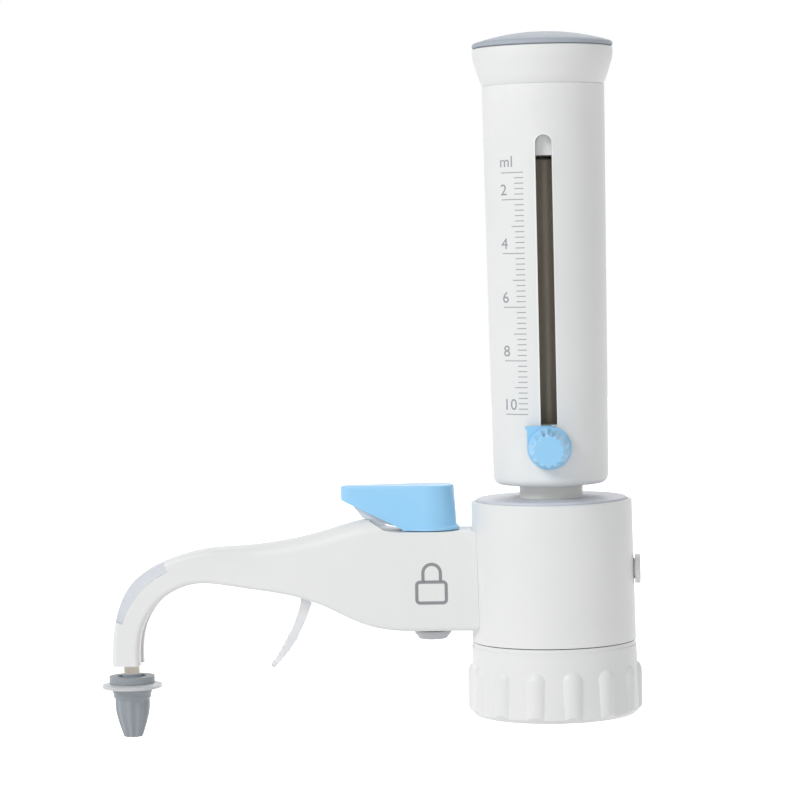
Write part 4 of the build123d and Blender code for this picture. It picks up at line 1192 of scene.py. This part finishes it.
@dataclass
class VolumeSlider:
    """The pointer plate, its shoe and the clamp knob."""

    knob_radius: float = 6.9
    nose_radius: float = 5.35
    knob_length: float = 15.5
    rim: float = 1.3
    rim_inset: float = 0.35
    rim_slope: float = 0.3
    corner: float = 0.5
    longest: float = 1.0
    screw_room: float = 1.55
    screw_depth: float = 8.05
    flutes: Flutes = Flutes(14, 0.55, 1.3, 99.0, 0.7)

    def knob(self, material: Material) -> None:
        """Makes the knob with its wide shallow flutes, which scallop its front edge.

        Args:
            material: The knob's finish.
        """
        low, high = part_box("clamp_knob")
        outline = [
            (0, self.knob_length),
            (self.nose_radius, self.knob_length),
            (self.knob_radius - self.rim_inset, self.rim),
            (self.knob_radius, self.rim - self.rim_slope),
            (self.knob_radius, 0),
        ]
        outer = divided(softened(outline, self.corner), False, self.longest)
        inner = [(self.screw_room, 0), (self.screw_room, self.screw_depth), (0, self.screw_depth)]
        mesh = turned("fluted_knob", outer, inner, self.flutes)
        place = Matrix.Translation((0, high.y, (low.z + high.z) / 2))
        mesh.transform(place @ Matrix.Rotation(math.radians(90), 4, "X"))
        piece = link(mesh, "fluted_knob", material, "knob")
        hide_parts("clamp_knob")

    def build(self, finishes: Finishes) -> None:
        """Dresses the slider and the knob.

        Args:
            finishes: All the finishes.
        """
        dress(["volume_slider"], finishes.blue)
        self.knob(finishes.blue)
        dress(["clamp_shoe"], finishes.piston)
        dress(["clamp_screw"], finishes.steel)


@dataclass
class ValveBlock:
    """The housing with its disc, core, glass and guard."""

    def build(self, finishes: Finishes) -> None:
        """Dresses the block.

        Args:
            finishes: All the finishes.
        """
        dress(["housing"], finishes.white)
        dress(["top_disc"], finishes.disc)
        dress(["cylinder_guard"], finishes.guard)
        dress(["valve_core", "core_nut", "filling_valve"], finishes.core)
        dress(["bottle_gasket", "cylinder_seal"], finishes.rubber)
        dress(["filling_ball", "discharge_ball"], finishes.clear)
        dress(["glass_cylinder"], finishes.amber)
        dress(["vent_plug"], finishes.white)


@dataclass
class DischargeArm:
    """The arm with its line, nozzle, strap and padlock sign."""

    body_left: float = -45.8
    body_right: float = -34.9
    body_low: float = 38.2
    body_high: float = 46.2
    body_round: float = 1.1
    shackle_left: float = -43.65
    shackle_right: float = -36.75
    shackle_top: float = 52.1
    line_width: float = 1.07
    ink: float = 0.00003
    turns: int = 10
    longest: float = 1.0

    def body_path(self) -> list[Point]:
        """Lists the middle line of the padlock's rounded body.

        Returns:
            The line's points in millimetres.
        """
        half, corner = self.line_width / 2, self.body_round
        left, right = self.body_left + half + corner, self.body_right - half - corner
        low, high = self.body_low + half + corner, self.body_high - half - corner
        points = []
        for quarter, middle in enumerate(((right, high), (left, high), (left, low), (right, low))):
            points += arc_points(middle, corner, 90 * quarter, 90, self.turns)
        return divided(points, True, self.longest)

    def shackle_path(self) -> list[Point]:
        """Lists the middle line of the padlock's shackle, open at the bottom.

        Returns:
            The line's points in millimetres.
        """
        half = self.line_width / 2
        left, right = self.shackle_left + half, self.shackle_right - half
        foot = self.body_high - half
        radius = (right - left) / 2
        middle = ((left + right) / 2, self.shackle_top - half - radius)
        bow = arc_points(middle, radius, 0, 180, 2 * self.turns)
        return divided([(right, foot), *bow, (left, foot)], False, self.longest)

    def padlock(self, material: Material) -> None:
        """Prints the padlock sign on the arm's side.

        Args:
            material: The ink.
        """
        lines = [
            ribbon(self.body_path(), True, self.line_width),
            ribbon(self.shackle_path(), False, self.line_width),
        ]
        mesh = joined(lines, "padlock_sign")
        print_on(mesh, surface_of("arm_front_shell"), self.ink)
        link(mesh, "padlock_sign", material, "valve_block")

    def build(self, finishes: Finishes) -> None:
        """Dresses the arm and prints its sign.

        Args:
            finishes: All the finishes.
        """
        dress(["arm_front_shell", "arm_rear_shell"], finishes.white)
        dress(["bend_insert"], finishes.insert)
        dress(["tether_strap"], finishes.strap)
        dress(["rotary_valve_body", "discharge_valve"], finishes.core)
        dress(["discharge_spring"], finishes.steel)
        dress(["discharge_tube"], finishes.tube)
        dress(["nozzle_tip"], finishes.nozzle)
        self.padlock(finishes.mark)


@dataclass
class ValveLever:
    """The lever with its insert and spindle, and the button under the arm."""

    outline: tuple[Point, ...] = ((0, 25.5), (4.6, 25.5), (6.2, 27.6), (6.2, 28.3), (2.5, 28.3))
    neck: float = 2.5
    corner: float = 0.3

    def button(self, material: Material) -> None:
        """Makes the tapered button under the arm, with its neck in the spindle.

        Args:
            material: The button's finish.
        """
        low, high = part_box("spindle_plug")
        inner = [(self.neck, high.z / MM), (0, high.z / MM)]
        mesh = turned("tapered_button", softened(list(self.outline), self.corner), inner)
        mesh.transform(Matrix.Translation(((low.x + high.x) / 2, 0, 0)))
        piece = link(mesh, "tapered_button", material, "lever")
        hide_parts("spindle_plug")

    def build(self, finishes: Finishes) -> None:
        """Dresses the lever.

        Args:
            finishes: All the finishes.
        """
        dress(["valve_lever"], finishes.blue)
        dress(["lever_insert"], finishes.insert)
        dress(["valve_spindle"], finishes.core)
        dress(["spindle_seals"], finishes.rubber)
        self.button(finishes.plug_grey)


@dataclass
class NozzleCap:
    """The nozzle cap with its tether ring."""

    outline: tuple[Point, ...] = (
        (0, -6.5),
        (3.15, -6.5),
        (3.45, -5.7),
        (4.7, -1.9),
        (5.4, 0.6),
        (5.8, 2.8),
        (5.9, 5.0),
        (5.9, 6.7),
        (6.3, 6.9),
        (6.35, 8.1),
        (7.05, 9.8),
        (6.0, 9.8),
        (6.0, 11.8),
        (7.7, 11.8),
        (7.7, 14.2),
    )
    bore: tuple[Point, ...] = (
        (4.8, 14.2), (3.65, 11.3), (3.65, 6.0), (2.65, 5.2), (2.65, -3.5), (0, -3.5)
    )
    corner: float = 0.35
    longest: float = 0.8
    flutes: Flutes = Flutes(10, 0.55, -99.0, 6.8, 0.8)

    def bell(self, material: Material) -> None:
        """Makes the cap: mouth flange, seat of the ring, band and fluted bell.

        Args:
            material: The cap's finish.
        """
        low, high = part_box("nozzle_cap")
        outer = divided(softened(list(self.outline), self.corner), False, self.longest)
        mesh = turned("nozzle_bell", outer, list(self.bore), self.flutes)
        mesh.transform(Matrix.Translation(((low.x + high.x) / 2, 0, 0)))
        piece = link(mesh, "nozzle_bell", material, "cap")
        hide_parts("nozzle_cap")

    def build(self, finishes: Finishes) -> None:
        """Makes the cap and dresses its ring.

        Args:
            finishes: All the finishes.
        """
        self.bell(finishes.nozzle_grey)
        dress(["cap_ring"], finishes.strap)


def seen_mask(tree: NodeTree) -> NodeSocket:
    """Adds the mask of what the camera sees, also by a mirror or through glass.

    Args:
        tree: Tree that gets the nodes.

    Returns:
        The mask's socket.
    """
    rays = tree.nodes.new("ShaderNodeLightPath").outputs
    mirrored = math_node(tree, "MAXIMUM", rays["Is Camera Ray"], rays["Is Glossy Ray"])
    return math_node(tree, "MAXIMUM", mirrored, rays["Is Transmission Ray"])


def white_light(tree: NodeTree, kind: str, strength: float) -> NodeSocket:
    """Adds an emission or a background of white light.

    Args:
        tree: Tree that gets the node.
        kind: Blender's name of the node.
        strength: Strength of the light.

    Returns:
        The light's socket.
    """
    return add(tree, kind, {"Color": (1, 1, 1, 1), "Strength": strength}).outputs[0]


def choose(tree: NodeTree, low: NodeSocket, high: NodeSocket) -> NodeSocket:
    """Adds a mix of a shader for what lights the object and one for what the camera sees.

    Args:
        tree: Tree that gets the nodes.
        low: Shader that lights the object.
        high: Shader that the camera sees.

    Returns:
        The mixed shader's socket.
    """
    return add(tree, "ShaderNodeMixShader", {0: seen_mask(tree), 1: low, 2: high}).outputs[0]


@dataclass(frozen=True)
class Lamp:
    """A soft square lamp: its place and side in metres and its power in watts."""

    name: str
    place: tuple[float, float, float]
    size: float
    power: float

    def build(self, target: Vector) -> None:
        """Sets up the lamp.

        Args:
            target: The point that it faces.
        """
        light = bpy.data.lights.new(self.name, "AREA")
        light.shape = "SQUARE"
        light.size = self.size
        light.energy = self.power
        lamp = bpy.data.objects.new(self.name, light)
        lamp.location = self.place
        facing = target - Vector(self.place)
        lamp.rotation_euler = facing.to_track_quat("-Z", "Y").to_euler()
        bpy.context.scene.collection.objects.link(lamp)


@dataclass
class Studio:
    """The floor, the lights and the camera."""

    target: tuple[float, float, float] = (-0.0499, -0.0031, 0.1062)
    azimuth: float = 3.6
    elevation: float = 2.86
    roll: float = 0.0232
    distance: float = 1.005
    lens: float = 135.0
    sensor: float = 36.0
    nearest: float = 0.05
    farthest: float = 20.0
    floor_level: float = -0.045
    floor_half: float = 3.0
    paper_tone: float = 0.92
    paper_roughness: float = 0.9
    paper_glow: float = 0.75
    world_strength: float = 0.5
    lamps: tuple[Lamp, ...] = (
        Lamp("key_lamp", (-1.1, -1.2, 1.1), 0.7, 14.5),
        Lamp("fill_lamp", (1.3, -0.9, 0.6), 0.9, 1.0),
        Lamp("rear_lamp", (0.2, 1.4, 1.2), 1.0, 6.0),
    )

    def paper(self, name: str) -> Material:
        """Makes a paper surface that shows as plain white and still takes shadows.

        Args:
            name: Name of the material.

        Returns:
            The material.
        """
        material = bpy.data.materials.new(name)
        material.use_nodes = True
        tree = material.node_tree
        shader = tree.nodes["Principled BSDF"]
        tone = self.paper_tone
        feed(tree, shader, {"Base Color": (tone, tone, tone, 1), "Roughness": self.paper_roughness})
        glow = white_light(tree, "ShaderNodeEmission", self.paper_glow)
        none = white_light(tree, "ShaderNodeEmission", 0.0)
        total = add(tree, "ShaderNodeAddShader", {0: shader.outputs[0], 1: choose(tree, none, glow)})
        feed(tree, tree.nodes["Material Output"], {"Surface": total.outputs[0]})
        return material

    def floor(self) -> None:
        """Makes the pale floor."""
        half, level = self.floor_half, self.floor_level
        corners = [(-half, -half, level), (half, -half, level), (half, half, level), (-half, half, level)]
        mesh = bpy.data.meshes.new("floor")
        mesh.from_pydata(corners, [], [(0, 1, 2, 3)])
        mesh.materials.append(self.paper("floor_paper"))
        plane = bpy.data.objects.new("floor", mesh)
        bpy.context.scene.collection.objects.link(plane)

    def world(self) -> None:
        """Makes the even pale surroundings, which show as white."""
        world = bpy.data.worlds.new("studio")
        bpy.context.scene.world = world
        world.use_nodes = True
        tree = world.node_tree
        tree.nodes.clear()
        dim = white_light(tree, "ShaderNodeBackground", self.world_strength)
        white = white_light(tree, "ShaderNodeBackground", 1.0)
        add(tree, "ShaderNodeOutputWorld", {"Surface": choose(tree, dim, white)})

    def camera(self) -> None:
        """Sets the camera at the photograph's viewing angle."""
        turn, tilt = math.radians(self.azimuth), math.radians(self.elevation)
        back = Vector((math.sin(turn) * math.cos(tilt), -math.cos(turn) * math.cos(tilt), math.sin(tilt)))
        data = bpy.data.cameras.new("camera")
        data.lens = self.lens
        data.sensor_width = self.sensor
        data.clip_start = self.nearest
        data.clip_end = self.farthest
        camera = bpy.data.objects.new("camera", data)
        camera.location = Vector(self.target) + back * self.distance
        level = (-back).to_track_quat("-Z", "Y")
        camera.rotation_mode = "QUATERNION"
        camera.rotation_quaternion = level @ Quaternion((0, 0, 1), -self.roll)
        bpy.context.scene.collection.objects.link(camera)
        bpy.context.scene.camera = camera

    def build(self) -> None:
        """Sets the whole studio."""
        bpy.context.scene.view_settings.view_transform = "Standard"
        self.camera()
        self.world()
        self.floor()
        for lamp in self.lamps:
            lamp.build(Vector(self.target))


def main() -> None:
    """Builds the dispenser's looks, group by group."""
    logging.basicConfig(level=logging.INFO, format="%(message)s")
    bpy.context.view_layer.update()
    Studio().build()
    finishes = Finishes()
    for group in (
        BottleCollar(),
        ValveBlock(),
        DischargeArm(),
        ValveLever(),
        NozzleCap(),
        Barrel(),
        VolumeSlider(),
    ):
        group.build(finishes)
        LOG.info("finished %s", type(group).__name__)


if __name__ == "__main__":
    main()
